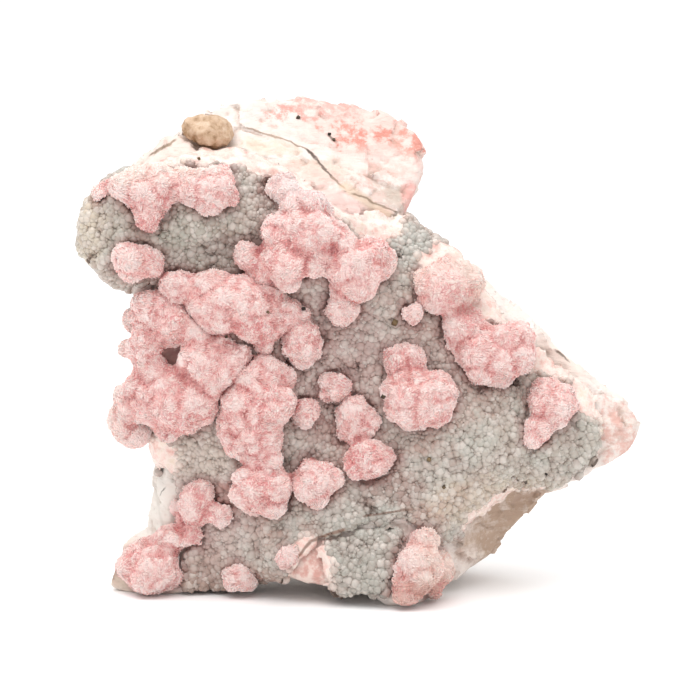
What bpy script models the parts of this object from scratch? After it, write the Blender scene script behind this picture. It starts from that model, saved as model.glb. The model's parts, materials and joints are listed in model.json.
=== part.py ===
"""Rhodochrosite specimen: pink rhodochrosite balls and a grey quartz druse on a pale, broken matrix.

Metres, +Z up, the crystal face towards -Y. Places and sizes below are in millimetres, measured from the middle
of the rock, with z = 0 at the surface that it stands on. At the end everything is moved sideways so that the
origin is under the middle of the specimen's box.

The matrix is an extruded outline whose front and back faces are then pushed to the depths of named places. The
druse is a skin on its front, and each rhodochrosite aggregate is a set of balls grown together, cut off where
it meets the druse and the rock.
"""

import math

import bmesh
import bpy
from mathutils import Matrix, Vector, noise
from mathutils.bvhtree import BVHTree

MM = 0.001
GAP = 0.3  # room between two pieces that touch
SLIVER = 0.002  # edges shorter than this are closed up
FLOOR_SLAB = Vector((0.2, 0.2, 0.02))  # metres: what cuts off all below the surface that the rock stands on

# ---- matrix -------------------------------------------------------------------------------------------------

OUTLINE = (  # (x, z) round the rock, clockwise from the upper left, seen from the front
    (-29.5, 83), (-26.5, 86), (-20.5, 87.5), (-14, 87.3), (-10.5, 87.5), (-2.5, 87), (6.5, 86),
    (12.3, 82.3), (14.2, 77), (12, 71), (9.5, 67.5), (11, 64.5), (16, 62.8), (22, 57.8), (29, 51.3),
    (37.5, 43.3), (45, 38.7), (50.5, 35), (53, 29.8), (50.7, 25), (45, 22), (39, 19.5),
    (36, 17.8), (34, 12.8), (29, 7.6), (21.5, 3.2), (15, 0), (12, -1), (6.5, -1), (4, 2), (-1.5, 2.5),
    (-10.5, 4.5), (-13, 5.5), (-18, 4), (-21, 2), (-25.5, 2), (-31, -1), (-39, -1), (-44.5, 1.5),
    (-45.8, 4.2), (-41, 10), (-37.6, 15), (-36.6, 20), (-33.5, 24.5), (-35.5, 29.3), (-38.5, 31.5),
    (-39, 36), (-38.5, 45.5), (-38, 54), (-43.5, 58.8), (-46.5, 62.5), (-46.5, 67), (-44.7, 70.2),
    (-40.5, 75), (-36.5, 78.5), (-33, 80.8),
)  # fmt: skip
PRISM_HALF = 10.0  # half thickness of the extruded outline before its faces are pushed
RIM_SMOOTHING = 4
SCULPT_VOXEL = 1.5
ROCK_VOXEL = 1.2
ROCK_FACES = 1900

FRONT_REACH = 5.0  # how far a named depth spreads
FRONT = (  # (x, z, y) of the front face
    (-47.5, 65, -8),  # nose tip
    (-37.5, 72, -13),  # nose crown
    (-26.5, 73, -13),
    (-25.5, 63, -9),  # hollow of the nose
    (-40, 60.5, -11),  # chin of the nose
    (-31, 57.5, -7),  # crevice under the nose
    (-20.5, 58, -7),
    (-37, 78, -3),  # broken top edge of the nose
    (-32, 80, 0),
    (-26.5, 83.5, 2),  # bed of the brown clast
    (-20.5, 86, 13),  # crest of the top slab
    (-7, 86, 13),
    (5, 84, 12),
    (-12, 82, 4),  # sloping face of the top slab
    (-3, 79, 2),
    (6.5, 78.5, 5),
    (9.5, 71, 3),
    (7, 67, 0),
    (-19.5, 77.5, -7),  # ridge where the top meets the crystal face
    (-11, 76.5, -6),
    (-4, 72, -6),
    (2.5, 68, -6),
    (9.5, 62.5, -6),
    (-10.5, 65.5, -12),  # bed of the brow
    (-0.5, 58, -11),
    (-34.5, 49, -10),  # cheek
    (-37.5, 38, -10),
    (-34.5, 30.5, -9),
    (-41.5, 34.5, -5),
    (-22, 48, -11),  # middle, where the column grows
    (-17.5, 35, -10),
    (-17.5, 20.5, -10),
    (-1.5, 45.5, -7),  # open plain of druse
    (-1.5, 36.5, -7),
    (15, 45.5, -7),
    (11, 35, -9),
    (15.5, 56.5, -7),  # shoulder
    (25.5, 43.5, -6),
    (22, 55.5, 1),  # narrow top face of the wing
    (36.5, 41.5, 0),
    (44, 36, -1),
    (20, 28, -11),  # right druse
    (18.5, 19, -12),
    (36.5, 29.5, -8),  # wing
    (47, 29, -4),
    (-33, 24.5, -3),  # hollow under the cheek
    (-35.5, 16.5, -1),  # smooth left flank
    (-39, 9.5, -2),
    (-30, 16, -7),
    (-35.5, 5, -9),  # foot
    (-43, 3.5, -5),
    (-23, 9.5, -9),  # lower left druse
    (-20.5, 3, -7),  # arch between foot and ledge
    (-9, 10.5, -11),  # groove above the ledge
    (-1.5, 14.5, -11),
    (6.5, 15.5, -11),
    (2, 11, -18),  # ledge
    (-6, 6.5, -18),
    (-2.5, 3.5, -17.5),
    (11, 6.5, -18.5),  # lump
    (9, 0.5, -18.5),
    (20, 9, -5),  # right flank
    (28.5, 13, 3),
    (17.5, 3, -6),
)

BACK_REACH = 9.0
BACK = (  # (x, z, y) of the back face
    (-44, 66, 3),  # nose
    (-30, 76, 11),
    (-15, 80, 21),  # top slab
    (5, 78, 18),
    (13, 58, 13),  # behind the shoulder
    (-10, 58, 23),  # broad middle
    (-33, 45, 10),
    (-10, 35, 24),
    (15, 35, 17),
    (30, 38, 9),  # wing
    (46, 30, 3),
    (28, 16, 11),  # brown flank
    (-33, 22, 8),
    (-38, 5, 3),  # foot
    (-22, 8, 10),
    (0, 8, 22),  # heel
    (14, 8, 20),
)
BREAKS = (  # flat fractures across the back: a point of each, and its outward normal (x, y, z)
    ((-20, 20, 60), (-0.55, 0.8, 0.15)),
    ((10, 16, 66), (0.45, 0.8, 0.3)),
    ((22, 14, 30), (0.5, 0.85, -0.05)),
    ((-24, 12, 20), (-0.5, 0.75, -0.35)),
)

CHIPS = (  # flat breaks: a point near the middle, the outward direction, the depth cut off, the radius
    ((11, 6, 76), (0.85, -0.35, 0.3), 1.4, 9),  # right end of the top slab
    ((-6, 4, 82), (0.1, -0.72, 0.68), 1.6, 14),  # its sloping face
    ((-22, 3, 83), (-0.35, -0.6, 0.7), 1.2, 8),
    ((-39, -4, 77), (-0.6, -0.3, 0.75), 1.2, 7),  # broken top of the nose
    ((26, 2, 52), (0.62, -0.2, 0.77), 0.8, 9),  # top of the wing
    ((42, 0, 39), (0.6, -0.25, 0.75), 0.5, 8),
    ((50, -1, 29), (0.85, -0.5, -0.15), 0.6, 6),  # wing tip
    ((29, 5, 13), (0.72, -0.15, -0.68), 1.0, 9),  # brown flank
    ((-37, -2, 17), (-0.85, -0.5, 0.1), 1.5, 9),  # smooth left flank
    ((-43, 0, 4), (-0.9, 0.1, 0.4), 0.5, 6),
    ((2, 19, 72), (0.2, 0.93, 0.3), 2.2, 13),  # back
    ((-20, 19, 66), (-0.45, 0.85, 0.25), 2.2, 12),
    ((-12, 22, 42), (-0.2, 0.97, -0.1), 2.4, 13),
    ((16, 16, 44), (0.5, 0.85, 0.15), 2.2, 12),
    ((-30, 11, 32), (-0.7, 0.7, 0), 2.0, 11),
    ((34, 8, 34), (0.3, 0.9, -0.3), 1.6, 10),
    ((24, 13, 20), (0.6, 0.75, -0.3), 2.0, 9),
    ((-14, 18, 14), (-0.4, 0.85, -0.35), 2.0, 11),
)
CHIP_SOLID = 0.75  # share of a break's radius that is flat

HEEL_AT = (5.5, 13.0, 5.0)  # block of rock at the back that the specimen rests on
HEEL_SIZE = (23.0, 15.0, 13.0)
HEEL_TURN = math.radians(8)
HEEL_BEVEL = 2.5

# ---- druse --------------------------------------------------------------------------------------------------

DRUSE_THICK = 1.7
DRUSE_GRAIN = 0.5  # height of the coarse grain
DRUSE_GRAIN_SIZE = 3.6
DRUSE_SUNK = 1.0  # how deep in the rock the skin lies at its border
DRUSE_EDGE = 2.6  # over this far from its border it comes up to its full height
DRUSE_BACK = 1.0  # the skin turns round the rim as far back as this y
DRUSE_FRONT = -40.0
DRUSES = {  # name: triangles of a skin all over the rock, and the (x, z) border that is kept of it
    "quartz_druse": (
        2200,
        (
            (-53, 66), (-48, 73.5), (-42, 75), (-32, 79), (-22, 80.5), (-15, 79), (-8, 74.5), (-2, 69.5),
            (5, 68.5), (9, 68), (16, 65.5), (20, 60.5), (26.5, 52.5), (34.5, 43.5), (40, 40), (44.5, 36),
            (45.5, 29), (44, 22.5), (37, 18.5), (29, 16.5), (23, 13.5), (17.5, 9), (13.5, 11.5), (8, 14),
            (1, 13), (-5, 10.5), (-10, 5), (-11, 2), (-17, 1), (-21, 0), (-27.5, -0.5), (-32, 0),
            (-30, 8), (-29, 12), (-32, 21), (-39, 21), (-43, 28), (-31, 32), (-28, 38), (-30, 52),
            (-34, 55.5), (-41, 54), (-47, 55), (-53, 60),
        ),
    ),
    "ledge_druse": (
        3400,
        (
            (-8.5, 11.5), (1, 13.8), (8, 15.5), (11.5, 12), (9, 8), (8, 1.5), (-5, 2), (-6, 6.5),
        ),
    ),
}  # fmt: skip

# ---- brown clast ----------------------------------------------------------------------------------------------

CLAST_AT = (-25.5, 1.6, 82.1)
CLAST_SIZE = (9.6, 10.0, 6.1)
CLAST_TURN = math.radians(9)
CLAST_FACES = 150

# ---- rhodochrosite --------------------------------------------------------------------------------------------

LIFT = 0.25  # how far a ball's centre stands out of the druse, as a share of its radius
LOBE_HEIGHT = 0.55  # knobbly surface of the balls
LOBE_SIZE = 3.4
BALL_GROWTH = 0.5  # the knobs stand this much out of the balls
BALL_VOXEL = 0.8
FACE_AREA = 3.6  # one triangle for each this many square millimetres
FLOOR_CLEARANCE = 0.5

AGGREGATES = {  # name: (x, z, radius) of each ball grown into it
    "rhodochrosite_crown": (
        (-46, 70.5, 1.2), (-43.5, 72, 1.5), (-41.5, 73.5, 1.7), (-37.5, 73, 3.3), (-33.5, 72.5, 3.6),
        (-36, 71, 2.2), (-35, 68, 2.3), (-34.5, 75.5, 1.7), (-26, 73, 3.6), (-23, 72.5, 3.3),
        (-24.5, 70.5, 2.1), (-22, 75.5, 1.5), (-29, 75.5, 1.4),
    ),
    "rhodochrosite_chin": (
        (-38, 60.5, 3.3), (-35, 59.5, 2.2), (-39, 62, 1.5),
    ),
    "rhodochrosite_brow": (
        (-12, 73, 2.6), (-9.5, 70, 2.8), (-6.5, 69, 2.8), (-12.5, 65.5, 2.9), (-7, 65, 4.5), (-18, 62, 1.9),
        (-17, 60, 2.2), (-14, 59.5, 2.7), (-11, 60, 3.6), (-7.5, 60.5, 2.6), (-4, 65.5, 2.2), (0.5, 59, 4.8),
        (3.5, 60, 3.8), (-1.5, 62, 2.9), (-1.5, 56, 2.2), (-2, 52, 2.8),
    ),
    "rhodochrosite_cheek": (
        (-35, 51.5, 3.6), (-31.5, 49.5, 3.6), (-29, 48.5, 2.2), (-38, 49, 2.1), (-38.5, 44.5, 1.9),
        (-36, 45.5, 2.9), (-35.5, 41.5, 2.6), (-38.5, 40, 2.3), (-26.5, 43, 2.9), (-22.5, 42, 2.9),
        (-19.5, 44, 2.1), (-25.5, 46, 1.9), (-22.5, 46, 1.7), (-32.5, 40.5, 2.1), (-29.5, 40.5, 2.1),
        (-39, 35, 2.8), (-41, 31.5, 2.1), (-39.5, 29.5, 2.1), (-36.5, 38, 2.4), (-34, 35.5, 3.8),
        (-30, 35, 5.1), (-27, 36, 3.8), (-31.5, 32.5, 3.7), (-24.5, 39, 2.4),
    ),
    "rhodochrosite_saddle": (
        (-30, 56, 2.9), (-28, 56.5, 1.9), (-24, 54, 4), (-22, 53, 5.2), (-17.5, 51.5, 4.5), (-18.5, 55, 2.4),
        (-14, 54.5, 2.1), (-12, 51, 2.8), (-9.5, 51.5, 1.7), (-15, 49, 2.6), (-15.5, 46, 1.7),
    ),
    "rhodochrosite_column": (
        (-15.5, 40.5, 2.9), (-12.5, 40, 2.2), (-18.5, 39.5, 2.1), (-19.5, 35.5, 3.1), (-15, 36, 4.7),
        (-12, 35.5, 1.9), (-21, 32, 2.4), (-16.5, 32.5, 4), (-19.5, 28.5, 2.8), (-21, 29.5, 2.1),
        (-15, 27.5, 3), (-15.5, 25, 2.1), (-16.5, 20.5, 4.2), (-14, 20, 3.8), (-19, 20.5, 1.9),
        (-12, 19.5, 1.7),
    ),
    "rhodochrosite_bead_upper": (
        (-8.5, 46, 3.3), (-9, 43.5, 1.6),
    ),
    "rhodochrosite_bead_middle": (
        (-3, 38, 2.6),
    ),
    "rhodochrosite_bead_small": (
        (-8, 33.5, 2.2),
    ),
    "rhodochrosite_twin": (
        (0.5, 33, 3), (1.5, 32, 2.8), (0, 30, 2.3), (2, 25.5, 3), (4, 25, 2.7), (3, 23.5, 1.7), (7, 26, 1.4),
    ),
    "rhodochrosite_bead_lower": (
        (-6.5, 22, 3.3), (-5, 22, 2.9), (-7.5, 22.5, 2.3), (-7.5, 25, 1.2), (-6, 19.5, 1.6),
    ),
    "rhodochrosite_great_ball": (
        (11.5, 36, 5.1), (14, 36.5, 4.2), (9.5, 37, 3.3), (8, 42.5, 2.3), (10.5, 43, 1.9),
    ),
    "rhodochrosite_bead_high": (
        (10.5, 50.5, 1.9),
    ),
    "rhodochrosite_shoulder": (
        (16, 55.5, 4.7), (18.5, 56, 4), (21, 55, 2.3), (16, 51.5, 1.4), (19, 48, 3.1), (21, 49.5, 1.9),
        (20, 43.5, 1.9), (23.5, 43, 4.6), (28, 44, 4.4), (26, 42, 3.7), (25.5, 46.5, 2.4), (29, 47.5, 2.1),
    ),
    "rhodochrosite_wing_ball": (
        (35.5, 34.5, 4), (37, 34.5, 3.2), (32.5, 30, 2.3), (31, 31, 1.2),
    ),
    "rhodochrosite_foot": (
        (-27, 17.5, 3.2), (-27.5, 15, 2.3), (-30.5, 14.5, 1.8), (-23, 15.5, 1.7), (-21.5, 15, 1.2),
        (-32.5, 9.5, 2.3), (-29.5, 10, 2.1), (-27.5, 10.5, 1.8), (-36, 4.5, 4.3), (-33.5, 5, 3.4),
        (-39, 5.5, 2.5), (-37, 7.5, 2.3),
    ),
    "rhodochrosite_foot_bead": (
        (-20, 4, 2.3), (-18.5, 3.5, 1.8),
    ),
    "rhodochrosite_arch_bead": (
        (-11, 8.5, 1.7),
    ),
    "rhodochrosite_lump": (
        (12, 11, 3), (11.5, 7, 4), (9.5, 3.5, 2.4), (15, 5.5, 2.8), (14, 3, 2.1),
    ),
}  # fmt: skip

COLOURS = {  # linear base colour and roughness
    "matrix": ((0.76, 0.64, 0.58, 1), 0.8),
    "druse": ((0.36, 0.33, 0.31, 1), 0.35),
    "clast": ((0.42, 0.29, 0.2, 1), 0.85),
    "rhodochrosite": ((0.76, 0.42, 0.4, 1), 0.75),
}


def clear_scene():
    for obj in list(bpy.data.objects):
        bpy.data.objects.remove(obj)


def material(name):
    """The plain material of one mineral."""
    made = bpy.data.materials.get(name)
    if made is None:
        colour, roughness = COLOURS[name]
        made = bpy.data.materials.new(name)
        made.use_nodes = True
        shader = made.node_tree.nodes["Principled BSDF"]
        shader.inputs["Base Color"].default_value = colour
        shader.inputs["Roughness"].default_value = roughness
        shader.inputs["Metallic"].default_value = 0.0
    return made


def place(name, mesh, collection):
    obj = bpy.data.objects.new(name, mesh)
    collection.objects.link(obj)
    return obj


def apply_modifiers(obj):
    """Replaces the object's data with what its modifiers make of it."""
    bpy.context.view_layer.update()
    graph = bpy.context.evaluated_depsgraph_get()
    made = bpy.data.meshes.new_from_object(obj.evaluated_get(graph))
    obj.modifiers.clear()
    obj.data = made


def remesh(obj, voxel):
    modifier = obj.modifiers.new("Voxels", "REMESH")
    modifier.mode = "VOXEL"
    modifier.voxel_size = voxel * MM
    apply_modifiers(obj)


def triangles(mesh):
    mesh.calc_loop_triangles()
    return len(mesh.loop_triangles)


def thin_out(obj, wanted):
    """Collapses edges until about this many triangles are left."""
    modifier = obj.modifiers.new("Fewer", "DECIMATE")
    modifier.ratio = min(1.0, wanted / triangles(obj.data))
    modifier.use_collapse_triangulate = True
    apply_modifiers(obj)


def boolean(obj, operation, cutter, solver="EXACT"):
    modifier = obj.modifiers.new("Cut", "BOOLEAN")
    modifier.operation = operation
    modifier.solver = solver
    modifier.object = cutter
    apply_modifiers(obj)


def swell(obj, height):
    """Moves each vertex out along its normal, by a height in mm or by a function of its place in mm."""
    mesh = obj.data
    normals = [vertex.normal.copy() for vertex in mesh.vertices]
    for vertex, normal in zip(mesh.vertices, normals):
        out = height(vertex.co / MM) if callable(height) else height
        vertex.co += normal * out * MM
    mesh.update()


def smooth(obj, times):
    modifier = obj.modifiers.new("Smooth", "SMOOTH")
    modifier.factor = 0.5
    modifier.iterations = times
    apply_modifiers(obj)


def keep_largest(obj):
    """Deletes the loose crumbs that a cut has left, all but the largest body."""
    bm = bmesh.new()
    bm.from_mesh(obj.data)
    left, bodies = set(bm.verts), []
    while left:
        body, edge_of_body = set(), [left.pop()]
        while edge_of_body:
            vert = edge_of_body.pop()
            body.add(vert)
            near = {edge.other_vert(vert) for edge in vert.link_edges} & left
            left -= near
            edge_of_body.extend(near)
        bodies.append(body)
    largest = max(bodies, key=len)
    crumbs = [vert for body in bodies if body is not largest for vert in body]
    bmesh.ops.delete(bm, geom=crumbs, context="VERTS")
    bm.to_mesh(obj.data)
    bm.free()


def cutter_of(obj, collection):
    """The object's present shape made larger by the gap, to cut what grows against it."""
    cutter = place(obj.name + "_cutter", obj.data.copy(), collection)
    swell(cutter, GAP)
    return cutter


def cut_by(obj, neighbours):
    """Takes the room of the neighbours that the object's box meets out of it, and drops the crumbs.

    The cutters are swollen, so they fold over themselves in tight hollows. The exact solver leaves edges open
    there, and the manifold one doesn't.
    """
    for cutter in neighbours:
        low, high = bounds_of([obj])
        cutter_low, cutter_high = bounds_of([cutter])
        if all(a < d and c < b for a, b, c, d in zip(low, high, cutter_low, cutter_high)):
            boolean(obj, "DIFFERENCE", cutter, "MANIFOLD")
    keep_largest(obj)


def outline_prism(name, points, y_front, y_back, collection):
    """A solid with this (x, z) outline between two depths."""
    curve = bpy.data.curves.new(name, "CURVE")
    curve.dimensions = "2D"
    curve.fill_mode = "BOTH"
    curve.extrude = (y_back - y_front) / 2 * MM
    spline = curve.splines.new("POLY")
    spline.points.add(len(points) - 1)
    for point, (x, z) in zip(spline.points, points):
        point.co = (x * MM, z * MM, 0, 1)
    spline.use_cyclic_u = True
    guide = place(name + "_outline", curve, collection)
    guide.matrix_world = (
        Matrix.Translation((0, (y_front + y_back) / 2 * MM, 0)) @ Matrix.Rotation(math.pi / 2, 4, "X")
    )
    bpy.context.view_layer.update()
    graph = bpy.context.evaluated_depsgraph_get()
    mesh = bpy.data.meshes.new_from_object(guide.evaluated_get(graph))
    mesh.transform(guide.matrix_world)
    bpy.data.objects.remove(guide)
    bm = bmesh.new()
    bm.from_mesh(mesh)
    bmesh.ops.remove_doubles(bm, verts=bm.verts, dist=1e-6)
    bmesh.ops.recalc_face_normals(bm, faces=bm.faces)
    bm.to_mesh(mesh)
    bm.free()
    return place(name, mesh, collection)


def blended_depth(x, z, places, reach):
    """The depth here, blended from the named places near it."""
    total = weights = 0.0
    for place_x, place_z, depth in places:
        apart = ((x - place_x) ** 2 + (z - place_z) ** 2) / (2 * reach**2)
        weight = math.exp(-apart) + 1e-9 / (1 + apart)
        total += weight * depth
        weights += weight
    return total / weights


def back_depth(x, z):
    """The back face: broad swells, cut off by the flat fractures."""
    depth = blended_depth(x, z, BACK, BACK_REACH)
    for (px, py, pz), (nx, ny, nz) in BREAKS:
        depth = min(depth, py - (nx * (x - px) + nz * (z - pz)) / ny)
    return depth


def roughness(point):
    """Height of the rock's own lumps and steps."""
    broad = noise.noise(point / 11)
    steps = noise.turbulence(point / 7, 3, True)
    return 0.9 * broad + 0.9 * (steps - 0.5)


def chip(rock):
    """Breaks the rock off flat at the named places."""
    surface = BVHTree.FromObject(rock, bpy.context.evaluated_depsgraph_get())
    for near, outward, depth, radius in CHIPS:
        normal = Vector(outward).normalized()
        met = surface.ray_cast((Vector(near) + normal * 60) * MM, -normal)[0]
        middle = met - normal * depth * MM
        for vertex in rock.data.vertices:
            above = (vertex.co - middle).dot(normal)
            beside = (vertex.co - middle - normal * above).length / (radius * MM)
            if above > 0 and beside < 1:
                vertex.co -= normal * above * min(1.0, (1 - beside) / (1 - CHIP_SOLID))
    rock.data.update()


def build_matrix(collection, cutters):
    """The host rock, standing on flats worn under its foot, its lump and its heel."""
    rock = outline_prism("matrix", OUTLINE, -PRISM_HALF, PRISM_HALF, collection)
    remesh(rock, SCULPT_VOXEL)
    smooth(rock, RIM_SMOOTHING)
    for vertex in rock.data.vertices:
        x, y, z = vertex.co / MM
        share = (y / PRISM_HALF + 1) / 2
        front = blended_depth(x, z, FRONT, FRONT_REACH)
        back = back_depth(x, z)
        vertex.co.y = (front + (max(back, front + 5) - front) * share) * MM
    rock.data.update()
    join_heel(rock)
    remesh(rock, ROCK_VOXEL)
    smooth(rock, 2)
    swell(rock, roughness)
    chip(rock)
    thin_out(rock, ROCK_FACES)
    boolean(rock, "DIFFERENCE", floor_cutter(0, cutters))
    keep_largest(rock)
    rock.data.materials.clear()
    rock.data.materials.append(material("matrix"))
    return rock


def join_heel(rock):
    bm = bmesh.new()
    size = Matrix.Diagonal((*(side * MM for side in HEEL_SIZE), 1))
    turn = Matrix.Rotation(HEEL_TURN, 4, "Z")
    bmesh.ops.create_cube(bm, size=1, matrix=Matrix.Translation(Vector(HEEL_AT) * MM) @ turn @ size)
    bmesh.ops.bevel(bm, geom=bm.edges, offset=HEEL_BEVEL * MM, segments=2, affect="EDGES", profile=0.5)
    bm.from_mesh(rock.data)
    bm.to_mesh(rock.data)
    bm.free()


def floor_cutter(height, collection):
    """A slab whose top is at this height, to cut off what would reach lower."""
    bm = bmesh.new()
    below = Matrix.Translation((0, 0, height * MM - FLOOR_SLAB.z / 2))
    bmesh.ops.create_cube(bm, size=1, matrix=below @ Matrix.Diagonal((*FLOOR_SLAB, 1)))
    mesh = bpy.data.meshes.new("floor")
    bm.to_mesh(mesh)
    bm.free()
    return place("floor", mesh, collection)


def grain(point):
    """Height of the druse: a skin with coarse rounded grains."""
    near = noise.voronoi(point / DRUSE_GRAIN_SIZE)[0][0]
    return DRUSE_THICK + DRUSE_GRAIN * (1 - 2 * near)


def from_border(x, z, border):
    """How far in mm this place is from the nearest side of the border."""
    here = Vector((x, z))
    nearest = math.inf
    for start, end in zip(border, border[1:] + border[:1]):
        side = Vector(end) - Vector(start)
        along = (here - Vector(start)).dot(side) / side.length_squared
        foot = Vector(start) + side * min(1.0, max(0.0, along))
        nearest = min(nearest, (foot - here).length)
    return nearest


def build_druse(name, rock_skin, neighbours, collection, cutters):
    """One sheet of druse: a skin that comes out of the rock inside a border, less what is under and beside it."""
    faces, border = DRUSES[name]

    def height(point):
        edge = min(from_border(point.x, point.z, border), DRUSE_BACK - point.y) / DRUSE_EDGE
        share = min(1.0, max(0.0, edge))
        share *= 2 - share
        return share * grain(point) - (1 - share) * DRUSE_SUNK

    druse = place(name, rock_skin.data.copy(), collection)
    swell(druse, height)
    remesh(druse, ROCK_VOXEL)
    thin_out(druse, faces)
    region = outline_prism(name + "_region", border, DRUSE_FRONT, DRUSE_BACK, cutters)
    boolean(druse, "INTERSECT", region)
    cutter = cutter_of(druse, cutters)
    cut_by(druse, neighbours)
    druse.data.materials.clear()
    druse.data.materials.append(material("druse"))
    return druse, cutter


def build_clast(neighbours, collection, cutters):
    """The rounded brown fragment caught in the top of the rock."""
    bm = bmesh.new()
    size = Matrix.Diagonal((*(side * MM for side in CLAST_SIZE), 1))
    turn = Matrix.Rotation(CLAST_TURN, 4, "Y")
    bmesh.ops.create_cube(bm, size=1, matrix=Matrix.Translation(Vector(CLAST_AT) * MM) @ turn @ size)
    mesh = bpy.data.meshes.new("clast")
    bm.to_mesh(mesh)
    bm.free()
    clast = place("brown_clast", mesh, collection)
    rounding = clast.modifiers.new("Round", "SUBSURF")
    rounding.levels = rounding.render_levels = 4
    apply_modifiers(clast)
    swell(clast, lambda point: 0.5 * noise.noise(point / 4) + 0.9)
    thin_out(clast, CLAST_FACES)
    cutter = cutter_of(clast, cutters)
    cut_by(clast, neighbours)
    clast.data.materials.clear()
    clast.data.materials.append(material("clast"))
    return clast, cutter


def ground_depth(x, z, ground):
    """The y in mm of the first face met from the front at this (x, z), or beside the rim the nearest one's."""
    start = Vector((x, DRUSE_FRONT, z)) * MM
    hits = [tree.ray_cast(start, Vector((0, 1, 0)))[0] for tree in ground]
    depths = [hit.y / MM for hit in hits if hit is not None]
    if depths:
        return min(depths)
    beside = Vector((x, blended_depth(x, z, FRONT, FRONT_REACH), z)) * MM
    return ground[0].find_nearest(beside)[0].y / MM


def knobs(point):
    """Height of the small lobes on a ball."""
    near = noise.voronoi(point / LOBE_SIZE)[0][0]
    return BALL_GROWTH + LOBE_HEIGHT * (1 - 2 * near)


def build_aggregate(name, ground, neighbours, collection, cutters):
    """Balls grown together, cut off where they meet what they grow on and each other's neighbours."""
    bm = bmesh.new()
    for x, z, radius in AGGREGATES[name]:
        y = ground_depth(x, z, ground) - LIFT * radius
        centre = Matrix.Translation(Vector((x, y, z)) * MM)
        bmesh.ops.create_icosphere(bm, subdivisions=3, radius=radius * MM, matrix=centre)
    mesh = bpy.data.meshes.new(name)
    bm.to_mesh(mesh)
    bm.free()
    balls = place(name, mesh, collection)
    remesh(balls, BALL_VOXEL)
    smooth(balls, 2)
    swell(balls, knobs)
    area = sum(face.area for face in balls.data.polygons) / MM**2
    thin_out(balls, area / FACE_AREA)
    cutter = cutter_of(balls, cutters)
    cut_by(balls, neighbours)
    balls.data.materials.clear()
    balls.data.materials.append(material("rhodochrosite"))
    return balls, cutter


def bounds_of(objects):
    corners = [vertex.co for obj in objects for vertex in obj.data.vertices]
    low = Vector(map(min, *corners)) if corners else Vector()
    high = Vector(map(max, *corners)) if corners else Vector()
    return low, high


def centre_over_origin(objects):
    """Moves the specimen sideways so that the origin is under the middle of its box."""
    low, high = bounds_of(objects)
    middle = (low + high) / 2
    shift = Matrix.Translation((-middle.x, -middle.y, 0))
    for obj in objects:
        obj.data.transform(shift)


def finish(obj):
    """Welds the slivers that a cut left and makes plain triangles."""
    bm = bmesh.new()
    bm.from_mesh(obj.data)
    bmesh.ops.remove_doubles(bm, verts=bm.verts, dist=SLIVER * MM)
    bmesh.ops.dissolve_degenerate(bm, edges=bm.edges, dist=SLIVER * MM)
    bmesh.ops.triangulate(bm, faces=bm.faces)
    bmesh.ops.recalc_face_normals(bm, faces=bm.faces)
    bm.to_mesh(obj.data)
    bm.free()


def main():
    clear_scene()
    specimen = bpy.data.collections.new("rhodochrosite_specimen")
    cutters = bpy.data.collections.new("cutters")
    for collection in (specimen, cutters):
        bpy.context.scene.collection.children.link(collection)

    rock = build_matrix(specimen, cutters)
    skin = place("skin", rock.data.copy(), cutters)
    remesh(skin, ROCK_VOXEL)
    pieces = [rock]
    neighbours = [floor_cutter(FLOOR_CLEARANCE, cutters), cutter_of(rock, cutters)]
    for name in DRUSES:
        druse, cutter = build_druse(name, skin, neighbours, specimen, cutters)
        pieces.append(druse)
        neighbours.append(cutter)
    ground = [BVHTree.FromObject(obj, bpy.context.evaluated_depsgraph_get()) for obj in pieces]
    clast, cutter = build_clast(neighbours, specimen, cutters)
    pieces.append(clast)
    neighbours.append(cutter)
    for name in AGGREGATES:
        balls, cutter = build_aggregate(name, ground, neighbours, specimen, cutters)
        pieces.append(balls)
        neighbours.append(cutter)

    for obj in pieces:
        finish(obj)
    centre_over_origin(pieces)
    for obj in cutters.objects:
        obj.hide_render = True
        obj.display_type = "WIRE"


main()
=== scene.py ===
"""Dressed model of a rhodochrosite specimen: pink balls on drusy quartz, grown over a slab of pale rock."""

import json
import logging
import math
from collections.abc import Callable
from dataclasses import dataclass
from enum import Enum

import bpy
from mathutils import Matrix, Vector
from mathutils.bvhtree import BVHTree

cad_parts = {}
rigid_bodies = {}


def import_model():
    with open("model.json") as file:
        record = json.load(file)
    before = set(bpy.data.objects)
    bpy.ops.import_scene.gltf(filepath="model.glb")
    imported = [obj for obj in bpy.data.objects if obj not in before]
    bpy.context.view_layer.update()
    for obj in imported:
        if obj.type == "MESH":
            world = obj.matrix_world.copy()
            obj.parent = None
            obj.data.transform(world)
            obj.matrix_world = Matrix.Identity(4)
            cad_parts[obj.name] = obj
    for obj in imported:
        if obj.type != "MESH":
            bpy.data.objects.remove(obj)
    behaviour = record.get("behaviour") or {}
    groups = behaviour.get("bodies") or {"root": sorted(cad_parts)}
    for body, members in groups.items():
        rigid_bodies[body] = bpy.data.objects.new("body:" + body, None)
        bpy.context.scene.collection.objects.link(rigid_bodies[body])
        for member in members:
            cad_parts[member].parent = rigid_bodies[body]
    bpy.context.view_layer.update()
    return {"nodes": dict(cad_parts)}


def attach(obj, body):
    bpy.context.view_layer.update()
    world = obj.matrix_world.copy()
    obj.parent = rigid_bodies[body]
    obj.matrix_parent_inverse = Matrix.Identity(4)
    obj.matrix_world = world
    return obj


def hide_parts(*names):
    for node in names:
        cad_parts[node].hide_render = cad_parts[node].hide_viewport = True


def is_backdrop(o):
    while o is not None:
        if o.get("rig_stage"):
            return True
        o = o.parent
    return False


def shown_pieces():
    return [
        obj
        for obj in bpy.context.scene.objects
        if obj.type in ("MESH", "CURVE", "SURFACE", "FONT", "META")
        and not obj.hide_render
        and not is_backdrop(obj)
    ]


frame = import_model()

Node = bpy.types.Node
Piece = bpy.types.Object
Socket = bpy.types.NodeSocket
Tree = bpy.types.NodeTree
Triple = tuple[float, float, float]

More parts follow.
